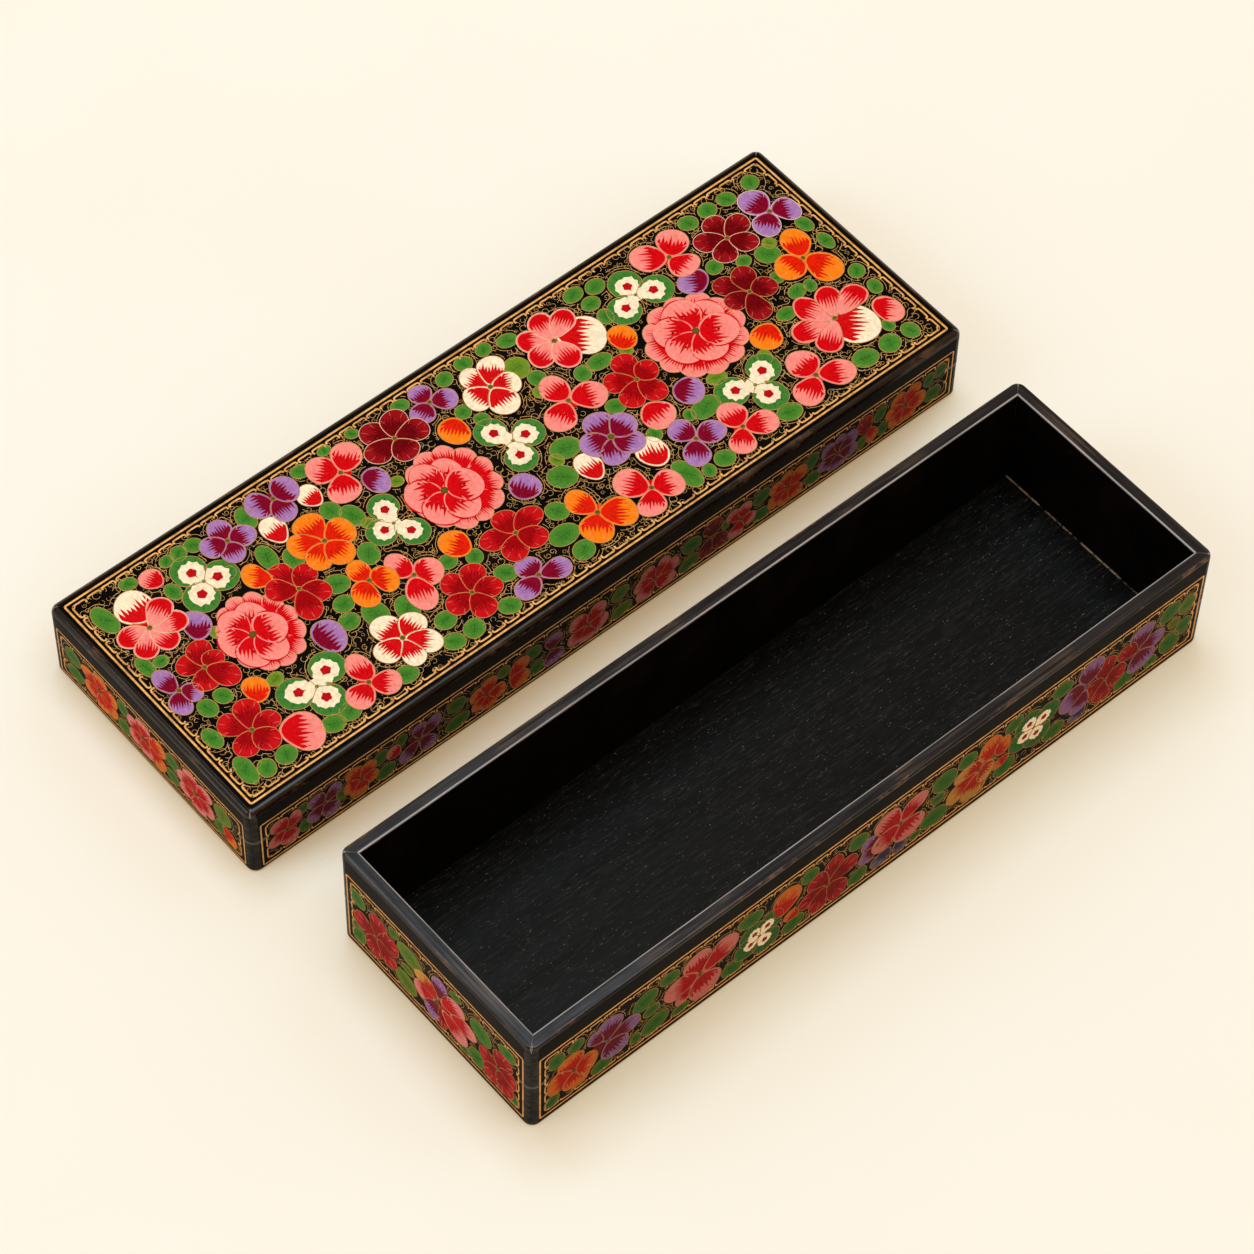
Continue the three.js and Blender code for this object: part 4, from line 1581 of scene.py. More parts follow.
    def paint_peony(self, peony: Peony) -> None:
        """Paints a ruffled outer ring with a combed red band, then six broad petals round the eye.

        Args:
            peony: The peony.
        """
        draw = self.draw
        film = self.film
        palette = Pigment.PINK.value
        level = self.brushes.petal_level
        self.cover(ellipse(peony.centre, peony.half_u, peony.half_v, 12))
        ground = ellipse(peony.centre, peony.half_u * 0.87, peony.half_v * 0.87, 40)
        film.lay(ground, level - 0.02, palette.flame)
        count = 12
        start = draw.uniform(0, 1)
        turns = [FULL_TURN * (k + start) / count for k in range(count)]
        for k, turn in enumerate(turns):
            size = draw.uniform(0.25, 0.29)
            middle = peony.at(turn, 0.71)
            outline = self.petal_outline((*middle, peony.half_u * size, peony.half_v * size), peony.centre)
            height = level + 0.008 * (k % 3)
            film.lay(outline, height, palette.rim, palette.petal, middle, (0.0, 0.4), 0.01)
            self.outlines.append((outline, height - 0.02, True))
        level += 0.02
        for turn in turns:
            spread = math.pi / count * draw.uniform(0.9, 1.12)
            teeth = [draw.uniform(0.8, 0.91) if j % 2 else draw.uniform(0.68, 0.73) for j in range(15)]
            film.lay(peony.fan(turn, spread * 0.88, 0.5, teeth), level + 0.03, palette.flame)
            edge = turn + spread
            width = draw.uniform(0.5, 1.3)
            film.stroke(peony.at(edge, 0.58), peony.at(edge, 0.9), width, level + 0.045, palette.flame)
        level += 0.05
        count = 6
        start = draw.uniform(0, 1)
        for k in range(count):
            size = draw.uniform(0.92, 1.06)
            turn = FULL_TURN * (k + start) / count
            middle = on_ellipse(peony.eye, peony.half_u * 0.42, peony.half_v * 0.42, turn)
            half_u = peony.half_u * 0.37 * size
            half_v = peony.half_v * 0.37 * size
            outline = self.petal_outline((*middle, half_u, half_v), peony.eye, 26)
            border = self.petal_outline((*middle, half_u + 0.28, half_v + 0.28), peony.eye, 26)
            height = level + PEONY_LAYER * k
            film.lay(border, height, palette.flame)
            self.paint_petal(outline, palette, partway(middle, peony.eye, 0.6), height + 0.012)
            film.lay(ellipse(middle, 0.45, 0.4, 8), height + 0.08, palette.vein)
        level += PEONY_LAYER * count + 0.04
        eye = ellipse(peony.eye, PEONY_EYE_RADIUS, PEONY_EYE_RADIUS, 12)
        film.lay(eye, level + 0.02, CENTRE_BROWN, CENTRE_GREEN, peony.eye, (0.0, 0.5), 0.02)

    def frame_path(self) -> Path:
        """The outer gold line, all the way round.

        Returns:
            The closed path.
        """
        layout = self.layout
        gap = self.brushes.frame_gap
        half_v = (layout.high - layout.low) / 2
        middle_v = (layout.low + layout.high) / 2
        outline = rounded_rectangle(layout.half_u + gap, half_v + gap, middle_v, FRAME_CORNER)
        return outline, FRAME_LEVEL, True

    def cusped_paths(self) -> list[Path]:
        """The inner gold line, broken into pieces with their ends turned in.

        Returns:
            The pieces.
        """
        layout = self.layout
        draw = self.draw
        half_v = (layout.high - layout.low) / 2
        corners = (
            ((-layout.half_u, layout.low), (1, 0), 2 * layout.half_u),
            ((layout.half_u, layout.low), (0, 1), 2 * half_v),
            ((layout.half_u, layout.high), (-1, 0), 2 * layout.half_u),
            ((-layout.half_u, layout.high), (0, -1), 2 * half_v),
        )
        pieces = []
        for (u, v), (du, dv), length in corners:
            count = max(3, round(length / CUSP_LENGTH))
            step = length / count
            for k in range(count):
                start = k * step + CUSP_GAP
                end = (k + 1) * step - CUSP_GAP
                turned = draw.uniform(0.7, 1.5)
                other = draw.uniform(0.7, 1.5)
                local = (
                    (start + 0.25, turned),
                    (start - 0.05, turned * 0.55),
                    (start + 0.25, 0.15),
                    (start + 0.9, 0),
                    ((start + end) / 2, draw.uniform(-0.05, 0.1)),
                    (end - 0.9, 0),
                    (end - 0.25, 0.15),
                    (end + 0.05, other * 0.55),
                    (end - 0.35, other),
                )
                piece = [(u + du * a - dv * b, v + dv * a + du * b) for a, b in local]
                pieces.append((piece, FRAME_LEVEL, False))
        return pieces

    def is_open(self, points: np.ndarray, margin: float) -> np.ndarray:
        """Tells which points lie on open ground.

        Args:
            points: Rows of u and v.
            margin: How far clear of every flower and leaf they must be.

        Returns:
            One truth for each point.
        """
        layout = self.layout
        taken = np.array(self.covered)
        near = ((points[:, None, 0] - taken[:, 0]) / (taken[:, 2] + margin)) ** 2
        near += ((points[:, None, 1] - taken[:, 1]) / (taken[:, 3] + margin)) ** 2
        across = np.abs(points[:, 0]) < layout.half_u - FRAME_MARGIN
        up = (points[:, 1] > layout.low + FRAME_MARGIN) & (points[:, 1] < layout.high - FRAME_MARGIN)
        return (near.min(axis=1) > 1) & across & up

    def echo_paths(self) -> list[Path]:
        """Gold lines that follow each shape a little way out, wherever the ground is open.

        Returns:
            The paths.
        """
        draw = self.draw
        paths = []
        for u, v, half_u, half_v in self.covered:
            for gap in draw.choice(((0.95, 1.9), (0.95,), (0.95,), (1.2,))):
                start = draw.uniform(0, FULL_TURN)
                longest = draw.choice((5, 7, 9))
                ring = []
                for k in range(26):
                    reach_u = half_u + gap + draw.uniform(-0.12, 0.12)
                    reach_v = half_v + gap + draw.uniform(-0.12, 0.12)
                    ring.append(on_ellipse((u, v), reach_u, reach_v, start + k * math.pi / 13))
                run = []
                for point, free in zip(ring, self.is_open(np.array(ring), gap - 0.3)):
                    if free:
                        run.append(point)
                    if free and len(run) < longest:
                        continue
                    if len(run) > 2:
                        paths.append((run, ECHO_LEVEL, False))
                    run = []
        return paths

    def ground_points(self) -> Mesh:
        """Points for the curls, spread evenly over the ground that no flower or leaf covers.

        Returns:
            A mesh of loose points that hold each curl's turn, size and kind.
        """
        layout = self.layout
        draw = self.draw
        spacing = self.brushes.curl_spacing
        rows = int((layout.high - layout.low - 2 * GRID_INSET) / spacing)
        columns = int((2 * layout.half_u - 2 * GRID_INSET) / spacing)
        found = []
        for row in range(rows + 1):
            for column in range(columns + 1):
                u = -layout.half_u + GRID_INSET + (column + draw.uniform(-0.3, 0.3)) * spacing
                v = layout.low + GRID_INSET + (row + draw.uniform(-0.3, 0.3)) * spacing
                if self.is_open(np.array([(u, v)]), -0.1)[0]:
                    found.append((u * MM, v * MM, CURL_LEVEL * MM))
        mesh = bpy.data.meshes.new(self.name + "_ground")
        mesh.from_pydata(found, [], [])
        turns = [c for _ in found for c in (0, 0, draw.uniform(0, FULL_TURN))]
        sizes = [c for _ in found for c in (*[draw.uniform(0.75, 1.3)] * 2, 1)]
        kinds = [draw.randrange(2) for _ in found]
        mesh.attributes.new("turn", "FLOAT_VECTOR", "POINT").data.foreach_set("vector", turns)
        mesh.attributes.new("size", "FLOAT_VECTOR", "POINT").data.foreach_set("vector", sizes)
        mesh.attributes.new("kind", "INT", "POINT").data.foreach_set("value", kinds)
        return mesh

    def add(self, mesh: Mesh, part: str) -> None:
        """Places a mesh that was drawn flat on the face and adds it as a piece that rides on the face's
        body.
        """
        mesh.transform(self.placing)
        add_piece(f"{self.name}_{part}", mesh, self.body)

    def add_lines(
        self,
        part: str,
        paths: Iterable[Path],
        gold: GoldPaint,
        width: float,
        height: float,
        taper: float = 0.0,
    ) -> None:
        """Draws paths as raised gold lines and adds them as one piece.

        Args:
            part: What they are, for the piece's name.
            paths: The paths.
            gold: Their paint.
            width: The lines' width.
            height: Their height.
            taper: How much thinner each is at its ends than in its middle, as a share.
        """
        name = f"{self.name}_{part}"
        inputs = {"Line Width": width * MM, "Line Height": height * MM, "Paint": gold.material()}
        self.add(run_tree(name, paths_curve(name, paths, taper), line_tree(), inputs), part)

    def build(self) -> None:
        """Paints the face and adds its pieces."""
        layout = self.layout
        paints = self.paints
        brushes = self.brushes
        for leaf in layout.leaves:
            self.paint_leaf(leaf)
        for rosette in layout.rosettes:
            self.paint_rosette(rosette)
        for peony in layout.peonies:
            self.paint_peony(peony)
        for number, flower in enumerate(layout.flowers):
            self.paint_flower(flower, number)
        self.add(self.film.mesh(self.name + "_flowers"), "flowers")
        self.add_lines("gold_outlines", self.outlines, paints.line, brushes.outline, OUTLINE_HEIGHT)
        if self.pale_outlines:
            self.add_lines("pale_outlines", self.pale_outlines, paints.pale, brushes.outline, OUTLINE_HEIGHT)
        self.add_lines("frame_line", [self.frame_path()], paints.frame, brushes.frame_line, FRAME_HEIGHT)
        cusped = self.cusped_paths()
        self.add_lines("cusped_line", cusped, paints.frame, brushes.cusped_line, FRAME_HEIGHT, taper=0.6)
        self.add_lines("echo_lines", self.echo_paths(), paints.scroll, brushes.scroll_line, SCROLL_HEIGHT)
        inputs = {
            "Line Width": brushes.scroll_line * MM,
            "Curl Radius": brushes.curl_radius * MM,
            "Paint": paints.scroll.material(),
        }
        scrolls = run_tree(self.name + "_scrolls", self.ground_points(), scroll_tree(), inputs)
        self.add(scrolls, "scrolled_ground")


def add_piece(name: str, mesh: Mesh, body: str, replaced: Sequence[str] = ()) -> None:
    """Adds a finished piece that rides on a body.

    Args:
        name: The piece's name.
        mesh: Its mesh, with its place in it.
        body: The body that it rides on.
        replaced: The CAD nodes that it stands for.
    """
    piece = link_to_scene(name, mesh)
    if replaced:
        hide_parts(*replaced)
    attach(piece, body)
    log.info("%s: %d faces, rides on %s", name, len(mesh.polygons), body)


# The boxes


def arc(across: float, up: float, radius: float, start: float, count: int) -> list[Point]:
    """A quarter circle round a centre, counter-clockwise; its start is an angle in quarters."""
    turns = [(start + k / count) * QUARTER for k in range(count + 1)]
    return [on_ellipse((across, up), radius, radius, turn) for turn in turns]


def bridge(shell: Shell, first: Ring, second: Ring) -> None:
    """Joins two closed rings of points with a strip of faces.

    Args:
        shell: The shell that holds them.
        first: One ring.
        second: The other, of as many points.
    """
    for k, vert in enumerate(first):
        after = (k + 1) % len(first)
        shell.faces.new((vert, first[after], second[after], second[k]))


def settle(
    shell: Shell,
    name: str,
    placing: Matrix,
    waver: Callable[[Vector], Vector] | None = None,
) -> Mesh:
    """Turns a worked shell into a mesh in its place, smooth but for its sharp edges.

    Args:
        shell: The shell; it is freed here.
        name: Name for the mesh.
        placing: Where it goes.
        waver: A small shift for each placed point.

    Returns:
        The mesh, with each point's unplaced position as the local attribute.
    """
    local = shell.verts.layers.float_vector.new("local")
    for vert in shell.verts:
        vert[local] = vert.co
        vert.co = placing @ vert.co
        if waver is not None:
            vert.co += waver(vert.co)
    for face in shell.faces:
        face.smooth = True
    for edge in shell.edges:
        edge.smooth = len(edge.link_faces) == 2 and edge.calc_face_angle(0) < math.radians(32)
    mesh = bpy.data.meshes.new(name)
    shell.to_mesh(mesh)
    shell.free()
    return mesh


@dataclass
class KeyedFrame:
    """Four mitred walls with rounded corners and a slip of wood across each mitre."""

    prefix: str
    side_word: str
    length: float
    width: float
    height: float
    across: float
    section: list[Point]
    arris: Callable[[float, float], float]
    rim: Callable[[float], float]
    corner_round: float = 3.0
    mitre_gap: float = 0.05
    mitre_wear: float = 0.5
    key_thickness: float = 1.2
    key_leg: float = 5.8
    key_proud: float = 0.04
    station_gap: float = 3.0

    SIDES = ("front", "right", "back", "left")
    CORNERS = ("front_left", "front_right", "back_right", "back_left")

    def placing(self, turn: int) -> Matrix:
        """How a wall drawn at the front is placed on another side."""
        return Matrix.Translation((0, self.across * MM, 0)) @ Matrix.Rotation(turn * QUARTER, 4, "Z")

    def size_for(self, turn: int) -> tuple[float, float]:
        """The frame's length and width as seen from one side."""
        return (self.length, self.width) if turn % 2 == 0 else (self.width, self.length)

    def stations(self, along: float) -> list[tuple[float, float]]:
        """Where the section stands along a wall: its place and its turn round the corner.

        Args:
            along: The wall's whole length.

        Returns:
            For each station, the distance along from the middle and the turn in radians.
        """
        straight = along / 2 - self.corner_round
        count = round(2 * straight / self.station_gap)
        steps = 6
        left = [(-straight, -QUARTER / 2 * (steps - k) / steps) for k in range(steps)]
        middle = [(-straight + 2 * straight * k / count, 0.0) for k in range(count + 1)]
        right = [(straight, QUARTER / 2 * (k + 1) / steps) for k in range(steps)]
        return left + middle + right

    def plan_point(self, along: float, across: float, place: float, bend: float, depth: float) -> Point:
        """Where a point of the section stands in plan, at one station of a front wall.

        Args:
            along: The wall's whole length.
            across: The frame's size across the wall.
            place: The station's distance from the middle.
            bend: The station's turn round the corner.
            depth: The point's depth behind the outer face.

        Returns:
            The point.
        """
        if bend == 0:
            limit = along / 2 - max(depth + self.mitre_wear, self.corner_round)
            return max(-limit, min(limit, place)), depth - across / 2
        radius = self.corner_round - depth
        hand = math.copysign(1, bend)
        if radius <= 0:
            back = self.mitre_wear * (1 - abs(bend) / (QUARTER / 2))
            return hand * (along / 2 - depth - back), depth - across / 2
        centre_u = hand * (along / 2 - self.corner_round)
        centre_v = self.corner_round - across / 2
        return centre_u + radius * math.sin(bend), centre_v - radius * math.cos(bend)

    def waver(self, point: Vector) -> Vector:
        """The small unevenness of a hand-rubbed rim at a point of it."""
        share = max(0, min(1, (point.z / MM - self.height + 3) / 2.5))
        return noise.noise_vector(point * 45) * (0.06 * MM * share)

    def wall_mesh(self, turn: int) -> Mesh:
        """Builds one wall as a closed shell with true mitred ends.

        Args:
            turn: The side, in quarter turns from the front.

        Returns:
            The mesh, in its place, with its arris, rim and polish attributes.
        """
        along, across = self.size_for(turn)
        shell = bmesh.new()
        arris, rim, polish = (shell.verts.layers.float.new(name) for name in ("arris", "rim", "polish"))
        rings = []
        stations = self.stations(along)
        for index, (place, bend) in enumerate(stations):
            at_mitre = index in (0, len(stations) - 1)
            ring = []
            for depth, height in self.section:
                u, v = self.plan_point(along, across, place, bend, depth)
                if at_mitre:
                    u -= math.copysign(self.mitre_gap, u)
                vert = shell.verts.new((u * MM, v * MM, height * MM))
                worn = self.arris(depth, height)
                upper = height > self.height - 2
                vert[arris] = 1.5 if at_mitre and upper else worn
                vert[rim] = self.rim(height)
                vert[polish] = max(0.3 * vert[rim], 1.0 if worn else 0, 0.3 if bend and depth < 1 else 0)
                ring.append(vert)
            rings.append(ring)
        for first, second in zip(rings, rings[1:]):
            bridge(shell, first, second)
        shell.faces.new(rings[0])
        shell.faces.new(list(reversed(rings[-1])))
        bmesh.ops.remove_doubles(shell, verts=shell.verts, dist=1e-6)
        bmesh.ops.recalc_face_normals(shell, faces=shell.faces)
        return settle(shell, f"{self.prefix}_{self.SIDES[turn]}", self.placing(turn), self.waver)

    def key_mesh(self, turn: int) -> Mesh:
        """Builds one corner slip, a hair proud of both walls.

        Args:
            turn: The corner, in quarter turns from the front left.

        Returns:
            The mesh, in its place.
        """
        along, across = self.size_for(turn)
        left = -along / 2 - self.key_proud
        front = -across / 2 - self.key_proud
        radius = self.corner_round + self.key_proud
        outline = [(left + self.key_leg, front), (left + self.key_leg - 0.3, front + 0.5)]
        outline += [(left + 0.5, front + self.key_leg - 0.3), (left, front + self.key_leg)]
        outline += [
            (left + radius - radius * math.sin(t), front + radius - radius * math.cos(t))
            for t in (QUARTER * (1 - k / 8) for k in range(9))
        ]
        low = (self.height - self.key_thickness) / 2
        slip = bmesh.new()
        bottom, top = (
            [slip.verts.new((u * MM, v * MM, level * MM)) for u, v in outline]
            for level in (low, low + self.key_thickness)
        )
        slip.faces.new(bottom)
        slip.faces.new(list(reversed(top)))
        bridge(slip, bottom, top)
        bmesh.ops.recalc_face_normals(slip, faces=slip.faces)
        return settle(slip, f"{self.prefix}_key_{self.CORNERS[turn]}", self.placing(turn))

    def build(self) -> None:
        """Adds the four walls and the four keys."""
        for turn, side in enumerate(self.SIDES):
            mesh = self.wall_mesh(turn)
            mesh.materials.append(GLOSS.material())
            node = f"{self.prefix}_{side}_{'end' if turn % 2 else self.side_word}"
            add_piece(node + "_lacquered", mesh, self.prefix, [node])
        for turn, corner in enumerate(self.CORNERS):
            mesh = self.key_mesh(turn)
            mesh.materials.append(KEY_WOOD.material())
            node = f"{self.prefix}_key_{corner}"
            add_piece(node + "_slip", mesh, self.prefix, [node])

    def paint_sides(
        self,
        front: Layout,
        left: Layout,
        seed: int,
        long_paints: PaintBox,
        brushes: Brushwork,
    ) -> None:
        """Paints the four sides; the back and the right are the other two turned end for end.

        Args:
            front: What is painted on the front.
            left: What is painted on the left end.
            seed: The front's seed; each next side's is one more.
            long_paints: The paints of the two long sides.
            brushes: How the sides are painted.
        """
        layouts = (front, left.reversed(EXCHANGE), front.reversed(EXCHANGE), left)
        for turn, (side, layout) in enumerate(zip(self.SIDES, layouts)):
            reach = self.size_for(turn)[1] / 2
            upright = Matrix.Translation((0, -reach * MM, 0)) @ Matrix.Rotation(QUARTER, 4, "X")
            placing = self.placing(turn) @ upright
            paints = END_PAINTS if turn % 2 else long_paints
            name = f"{self.prefix}_{side}"
            PaintedFace(name, self.prefix, layout, placing, seed + turn, paints, brushes).build()


def grid_lines(half: float, insets: Sequence[float], spacing: float) -> list[float]:
    """Grid lines across a board: even ones, and one at each inset from both edges.

    Args:
        half: Half the board's size.
        insets: Distances in from the edges.
        spacing: About how far apart the even ones are.

    Returns:
        The lines, in order.
    """
    reach = half - max(insets)
    count = round(2 * reach / spacing)
    even = [-reach + 2 * reach * k / count for k in range(count + 1)]
    outer = [sign * (half - inset) for inset in (0, *insets) for sign in (-1, 1)]
    return sorted(set(round(x, 5) for x in even + outer))


def ring_of(grid: Sequence[Ring]) -> Ring:
    """Goes round the edge of a grid.

    Args:
        grid: The grid's columns.

    Returns:
        The points, in order.
    """
    ring = [column[0] for column in grid]
    ring += list(grid[-1][1:])
    ring += [column[-1] for column in reversed(grid[:-1])]
    ring += list(reversed(grid[0][1:-1]))
    return ring


def board_mesh(
    name: str,
    node: str,
    lines: Sequence[float],
    top_edge: float,
    middle: Point,
    worn: Point | None = None,
) -> Mesh:
    """Builds a board as a closed slab with eased top edges, marking where walls meet it for a pale line of
    wear and painted highlight.

    Args:
        name: Name for the mesh.
        node: The CAD node that gives its size.
        lines: Extra grid lines, as distances in from its edges.
        top_edge: How far its upper edges are eased.
        middle: Its middle in plan.
        worn: Half length and half width of the rectangle that the walls meet it on.

    Returns:
        The mesh, in its place, with its arris attribute.
    """
    low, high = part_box(node)
    slab = bmesh.new()
    arris = slab.verts.layers.float.new("arris")
    us = grid_lines((high.x - low.x) / 2 / MM, lines, 10)
    vs = grid_lines((high.y - low.y) / 2 / MM, lines, 10)
    rings = []
    for level, flipped in ((high.z / MM, False), (low.z / MM, True)):
        plan = [[((u + middle[0]) * MM, (v + middle[1]) * MM) for v in vs] for u in us]
        grid = [[slab.verts.new((*point, level * MM)) for point in column] for column in plan]
        if worn is not None and not flipped:
            for u, column in zip(us, grid):
                for v, vert in zip(vs, column):
                    outside = max(abs(u) - worn[0], abs(v) - worn[1])
                    vert[arris] = 1.0 if outside > -0.3 else 0.0
        for first, second in zip(grid, grid[1:]):
            for k in range(len(vs) - 1):
                corners = (first[k], second[k], second[k + 1], first[k + 1])
                slab.faces.new(reversed(corners) if flipped else corners)
        rings.append(ring_of(grid))
    bridge(slab, *rings)
    bmesh.ops.recalc_face_normals(slab, faces=slab.faces)
    upper = [edge for edge in slab.edges if all(vert.co.z > high.z - 1e-7 for vert in edge.verts)]
    top_edges = [edge for edge in upper if edge.calc_face_angle(0) > 1]
    bmesh.ops.bevel(slab, geom=top_edges, offset=top_edge * MM, segments=2, affect="EDGES")
    return settle(slab, name, Matrix.Identity(4))


@dataclass
class PenBoxBase:
    """The open base: a keyed frame round a floor board, painted on its four sides."""

    length: float = 260.0
    width: float = 84.0
    height: float = 43.0
    wall: float = 4.3
    floor: float = 3.0
    rebate: float = 2.0
    board_play: float = 0.1
    rim_outer: float = 1.0
    rim_inner: float = 0.4
    foot: float = 0.8

    def section(self) -> list[Point]:
        """The wall's section, across from its outer face and up from the table.

        Returns:
            Its points, counter-clockwise.
        """
        lip = self.wall - self.rebate
        outline = [(lip, 0.0), (lip, self.floor), (self.wall, self.floor), (self.wall, self.floor + 0.6)]
        outline += [(self.wall, self.height / 2), (self.wall, self.height - 1.2)]
        outline += arc(self.wall - self.rim_inner, self.height - self.rim_inner, self.rim_inner, 0, 5)
        outline += [(self.wall - self.rim_inner - 0.3, self.height), (self.rim_outer + 0.35, self.height)]
        outline += arc(self.rim_outer, self.height - self.rim_outer, self.rim_outer, 1, 8)
        outline += [(0.0, self.height - 1.6), (0.0, self.height - 4), (0.0, self.foot + 1.2)]
        outline += arc(self.foot, self.foot, self.foot, 2, 5)
        return outline

    def arris(self, depth: float, height: float) -> float:
        """How rubbed the lacquer is at a point of the section.

        Args:
            depth: The point's depth behind the outer face.
            height: Its height.

        Returns:
            The wear, from 0 to 1.
        """
        if height < self.foot:
            return 0.7
        inner = depth > self.wall - self.rim_inner - 0.05 and height > self.height - self.rim_inner - 0.05
        outer = depth < self.rim_outer * 0.9 and height > self.height - self.rim_outer * 0.9
        return 1.0 if inner else 0.75 if outer else 0.0

    def rim(self, height: float) -> float:
        """1 on the rim's flat top, and 0 elsewhere."""
        return 1.0 if height > self.height - 0.25 else 0.0

    def build(self) -> None:
        """Builds the base."""
        size = (self.length, self.width, self.height, 0.0)
        box = KeyedFrame("base", "wall", *size, self.section(), self.arris, self.rim)
        box.build()
        inside = (self.length / 2 - self.wall, self.width / 2 - self.wall)
        tongue = self.rebate - self.board_play
        lines = (tongue - 0.4, tongue + 0.3, tongue + 1)
        mesh = board_mesh("base_floor", "base_floor_board", lines, 0.1, (0, 0), inside)
        mesh.materials.append(FLOOR.material())
        add_piece("base_floor_grained", mesh, "base", ["base_floor_board"])
        box.paint_sides(BASE_FRONT, BASE_LEFT, 11, LONG_SIDE_PAINTS, BASE_SIDE_BRUSHWORK)


@dataclass
class PenBoxLid:
    """The slip-over lid: a keyed frame under a top panel, painted on its top and sides."""

    length: float = 276.0
    width: float = 96.0
    height: float = 30.0
    wall: float = 5.0
    panel: float = 4.0
    rebate: float = 2.2
    edge: float = 2.5
    lead_in: float = 0.8
    foot: float = 0.8
    across: float = 121.0

    def section(self) -> list[Point]:
        """The side's section, across from its outer face and up from the table.

        Returns:
            Its points, counter-clockwise.
        """
        lip = self.wall - self.rebate
        shelf = self.height - self.panel
        outline = [(self.wall - self.lead_in, 0.0), (self.wall, self.lead_in), (self.wall, shelf)]
        outline += [(lip, shelf), (lip, self.height)]
        outline += arc(self.edge, self.height - self.edge, self.edge, 1, 12)
        outline += [(0.0, self.height - self.edge - 1), (0.0, self.foot + 1.2)]
        outline += arc(self.foot, self.foot, self.foot, 2, 5)
        return outline

    def arris(self, depth: float, height: float) -> float:
        """How rubbed the lacquer is at a point of the section.

        Args:
            depth: The point's depth behind the outer face.
            height: Its height.

        Returns:
            The wear, from 0 to 1.
        """
        if height < self.foot:
            return 0.7
        inward = self.edge - depth
        upward = height - self.height + self.edge
        return 0.45 if inward > 0.5 and upward > 0.5 and depth < self.edge else 0.0

    def build(self) -> None:
        """Builds the lid."""
        size = (self.length, self.width, self.height, self.across)
        box = KeyedFrame("lid", "side", *size, self.section(), self.arris, lambda height: 0.0)
        box.build()
        mesh = board_mesh("lid_panel", "lid_top_panel", (1.5,), 0.02, (0, self.across))
        mesh.materials.append(GLOSS.material())
        add_piece("lid_panel_lacquered", mesh, "lid", ["lid_top_panel"])
        top = Matrix.Translation((0, self.across * MM, self.height * MM))
        PaintedFace("lid_top", "lid", LID_TOP, top, 5, TOP_PAINTS, LID_TOP_BRUSHWORK).build()
        box.paint_sides(LID_FRONT, LID_LEFT, 21, LID_SIDE_PAINTS, LID_SIDE_BRUSHWORK)


# The studio


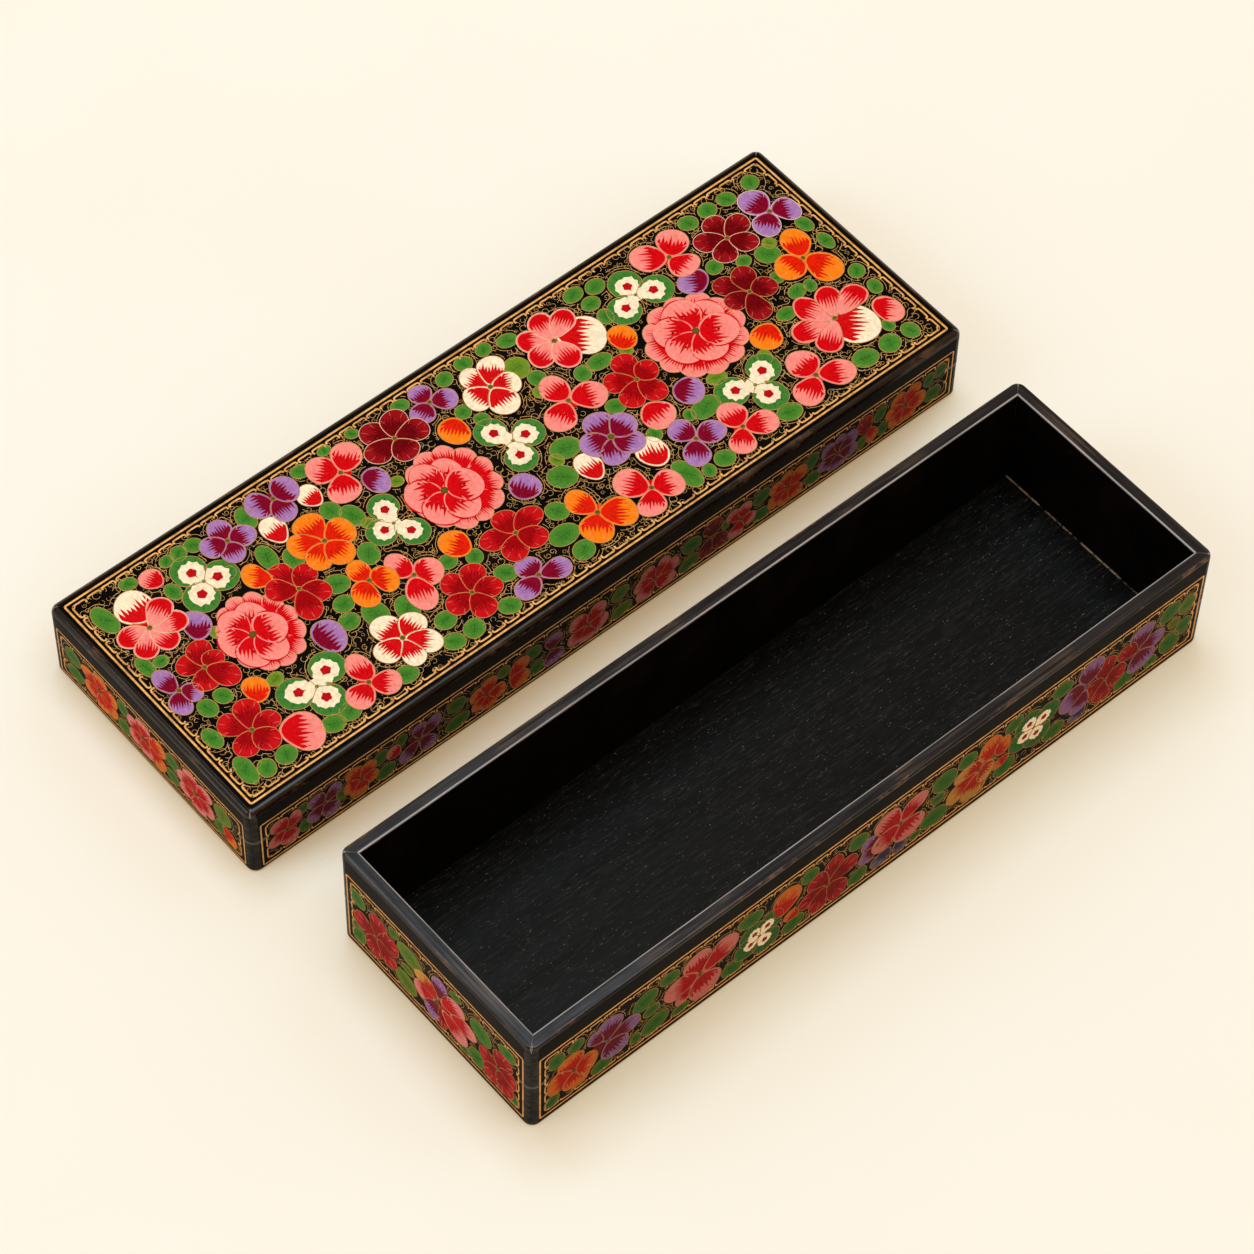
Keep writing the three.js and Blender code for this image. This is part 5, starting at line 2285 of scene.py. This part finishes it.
@dataclass
class Studio:
    """A pale table, soft lamps and the camera where the photograph was taken from."""

    table_colour: Colour = paint(254, 250, 240)
    table_patch: Colour = paint(252, 247, 236)
    table_glow: Colour = paint(255, 238, 180)
    near_shadow: Colour = (0.985, 0.952, 0.9)
    gap_shadow: Colour = (0.74, 0.62, 0.5)
    glow_share: float = 0.3
    flat_radii: tuple[float, ...] = (0.6, 1.6, 2.6)
    sweep_radius: float = 0.8
    table_middle: Point = (0, 0.05)
    ceiling_light: Colour = (0.74, 1.07, 1.46)
    window_light: Colour = (0.72, 1.06, 1.48)
    room_light: Colour = (1.0, 0.6, 0.28)
    room_strength: float = 0.56
    azimuth: float = -41.84
    elevation: float = 55.23
    roll: float = 1.69
    distance: float = 1.388
    lens_mm: float = 133.14
    target: tuple[float, float, float] = (0.00104, 0.07045, 0.0)

    def table(self) -> None:
        """Lays the pale table with its edge swept up far away, as stage."""
        corner = (self.flat_radii[-1], self.sweep_radius)
        profile = [(radius, 0.0) for radius in self.flat_radii]
        profile += arc(*corner, self.sweep_radius, 3, 8)[1:]
        count = 64
        sheet = bmesh.new()
        middle = sheet.verts.new((*self.table_middle, 0))
        rings = []
        for radius, height in profile:
            circle = ellipse(self.table_middle, radius, radius, count)
            rings.append([sheet.verts.new((*point, height)) for point in circle])
        for k in range(count):
            sheet.faces.new((middle, rings[0][k], rings[0][(k + 1) % count]))
        for first, second in zip(rings, rings[1:]):
            bridge(sheet, second, first)
        for face in sheet.faces:
            face.smooth = True
        mesh = bpy.data.meshes.new("table")
        sheet.to_mesh(mesh)
        sheet.free()
        mesh.materials.append(self.table_material())
        link_to_scene("table", mesh)

    def table_material(self) -> Material:
        """Pale paper that glows a little to the camera, with painted shade, deeper and warmer, where walls
        hem it in.

        Returns:
            The material.
        """
        bench = Bench("pale_table")
        colour = bench.mix(bench.span(bench.noise(6, 2), 0.3, 0.7), self.table_colour, self.table_patch)
        normal = bench.bump(bench.noise(420, 3), 0.02)
        plain = bench.shader(colour, 0.9, normal, IOR=1.2)
        # An ambient occlusion node paints shade into the table's colour and glow: deep and warm in gaps
        # between walls, faint and warm beside each wall.
        nearness = add_node(bench.tree, "ShaderNodeAmbientOcclusion", {"Distance": 0.12}, samples=24)
        hemmed = bench.span(nearness.outputs["AO"], 0.53, 0.3)
        beside = bench.span(nearness.outputs["AO"], 0.93, 0.8)
        near_shade_tint = bench.mix(beside, WHITE, self.near_shadow)
        kept = 1 - self.glow_share
        dim = bench.mix(hemmed, scaled(WHITE, kept), scaled(self.gap_shadow, kept))
        dim = bench.mix(1.0, dim, near_shade_tint, "MULTIPLY")
        shadow = bench.mix(1.0, bench.mix(hemmed, WHITE, self.gap_shadow), near_shade_tint, "MULTIPLY")
        glow = {
            "Emission_Color": bench.mix(1.0, self.table_glow, shadow, "MULTIPLY"),
            "Emission_Strength": self.glow_share,
        }
        glowing = bench.shader(bench.mix(1.0, colour, dim, "MULTIPLY"), 0.9, normal, IOR=1.2, **glow)
        rays = add_node(bench.tree, "ShaderNodeLightPath").outputs
        either = {0: rays["Is Camera Ray"], 1: rays["Is Glossy Ray"]}
        seen = add_node(bench.tree, "ShaderNodeMath", either, operation="MAXIMUM")
        return bench.finish(plain, glowing, seen.outputs["Value"])

    def lamp(self, name: str, place: Sequence[float], size: float, watts: float, colour: Colour) -> None:
        """Hangs one square soft lamp that faces the box.

        Args:
            name: The lamp's name.
            place: Where it hangs, in metres.
            size: The length of its side.
            watts: Its power.
            colour: Its colour.
        """
        light = bpy.data.lights.new(name, "AREA")
        light.shape = "SQUARE"
        light.size = size
        light.energy = watts
        light.color = colour
        lamp = link_to_scene(name, light)
        lamp.location = place
        aim = Vector((0, 0.07, 0)) - Vector(place)
        lamp.rotation_euler = aim.to_track_quat("-Z", "Y").to_euler()

    def world(self) -> None:
        """Fills the room with dim even light."""
        world = bpy.data.worlds.new("room")
        world.use_nodes = True
        background = world.node_tree.nodes["Background"]
        background.inputs["Color"].default_value = (*self.room_light, 1)
        background.inputs["Strength"].default_value = self.room_strength
        bpy.context.scene.world = world

    def camera(self) -> None:
        """Sets the camera at the photograph's viewing angle."""
        azimuth = math.radians(self.azimuth)
        elevation = math.radians(self.elevation)
        roll = math.radians(self.roll)
        back = Vector((
            math.sin(azimuth) * math.cos(elevation),
            -math.cos(azimuth) * math.cos(elevation),
            math.sin(elevation),
        ))
        level = Vector((math.cos(azimuth), math.sin(azimuth), 0))
        upward = back.cross(level)
        right = level * math.cos(roll) + upward * math.sin(roll)
        top = upward * math.cos(roll) - level * math.sin(roll)
        eye = Vector(self.target) + back * self.distance
        data = bpy.data.cameras.new("photograph")
        data.sensor_fit = "HORIZONTAL"
        data.sensor_width = 36
        data.lens = self.lens_mm
        data.clip_start = 0.05
        data.clip_end = 20
        camera = link_to_scene("photograph", data)
        axes = Matrix((right, top, back)).transposed().to_4x4()
        camera.matrix_world = Matrix.Translation(eye) @ axes
        bpy.context.scene.camera = camera

    def build(self) -> None:
        """Sets up the table, the lamps, the room and the camera."""
        bpy.context.scene.view_settings.view_transform = "Standard"
        self.table()
        self.lamp("front_ceiling", (0.2, -0.5, 3.2), 2.0, 34, self.ceiling_light)
        self.lamp("back_ceiling", (0.3, 1.0, 3.2), 1.4, 34, self.ceiling_light)
        self.lamp("window", (-2.3, 0.9, 1.9), 1.4, 12, self.window_light)
        self.world()
        self.camera()


def main() -> None:
    """Builds the studio, the base and the lid."""
    logging.basicConfig(level=logging.INFO, format="%(message)s")
    noise.seed_set(WAVER_SEED)
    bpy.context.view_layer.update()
    Studio().build()
    PenBoxBase().build()
    PenBoxLid().build()


if __name__ == "__main__":
    main()
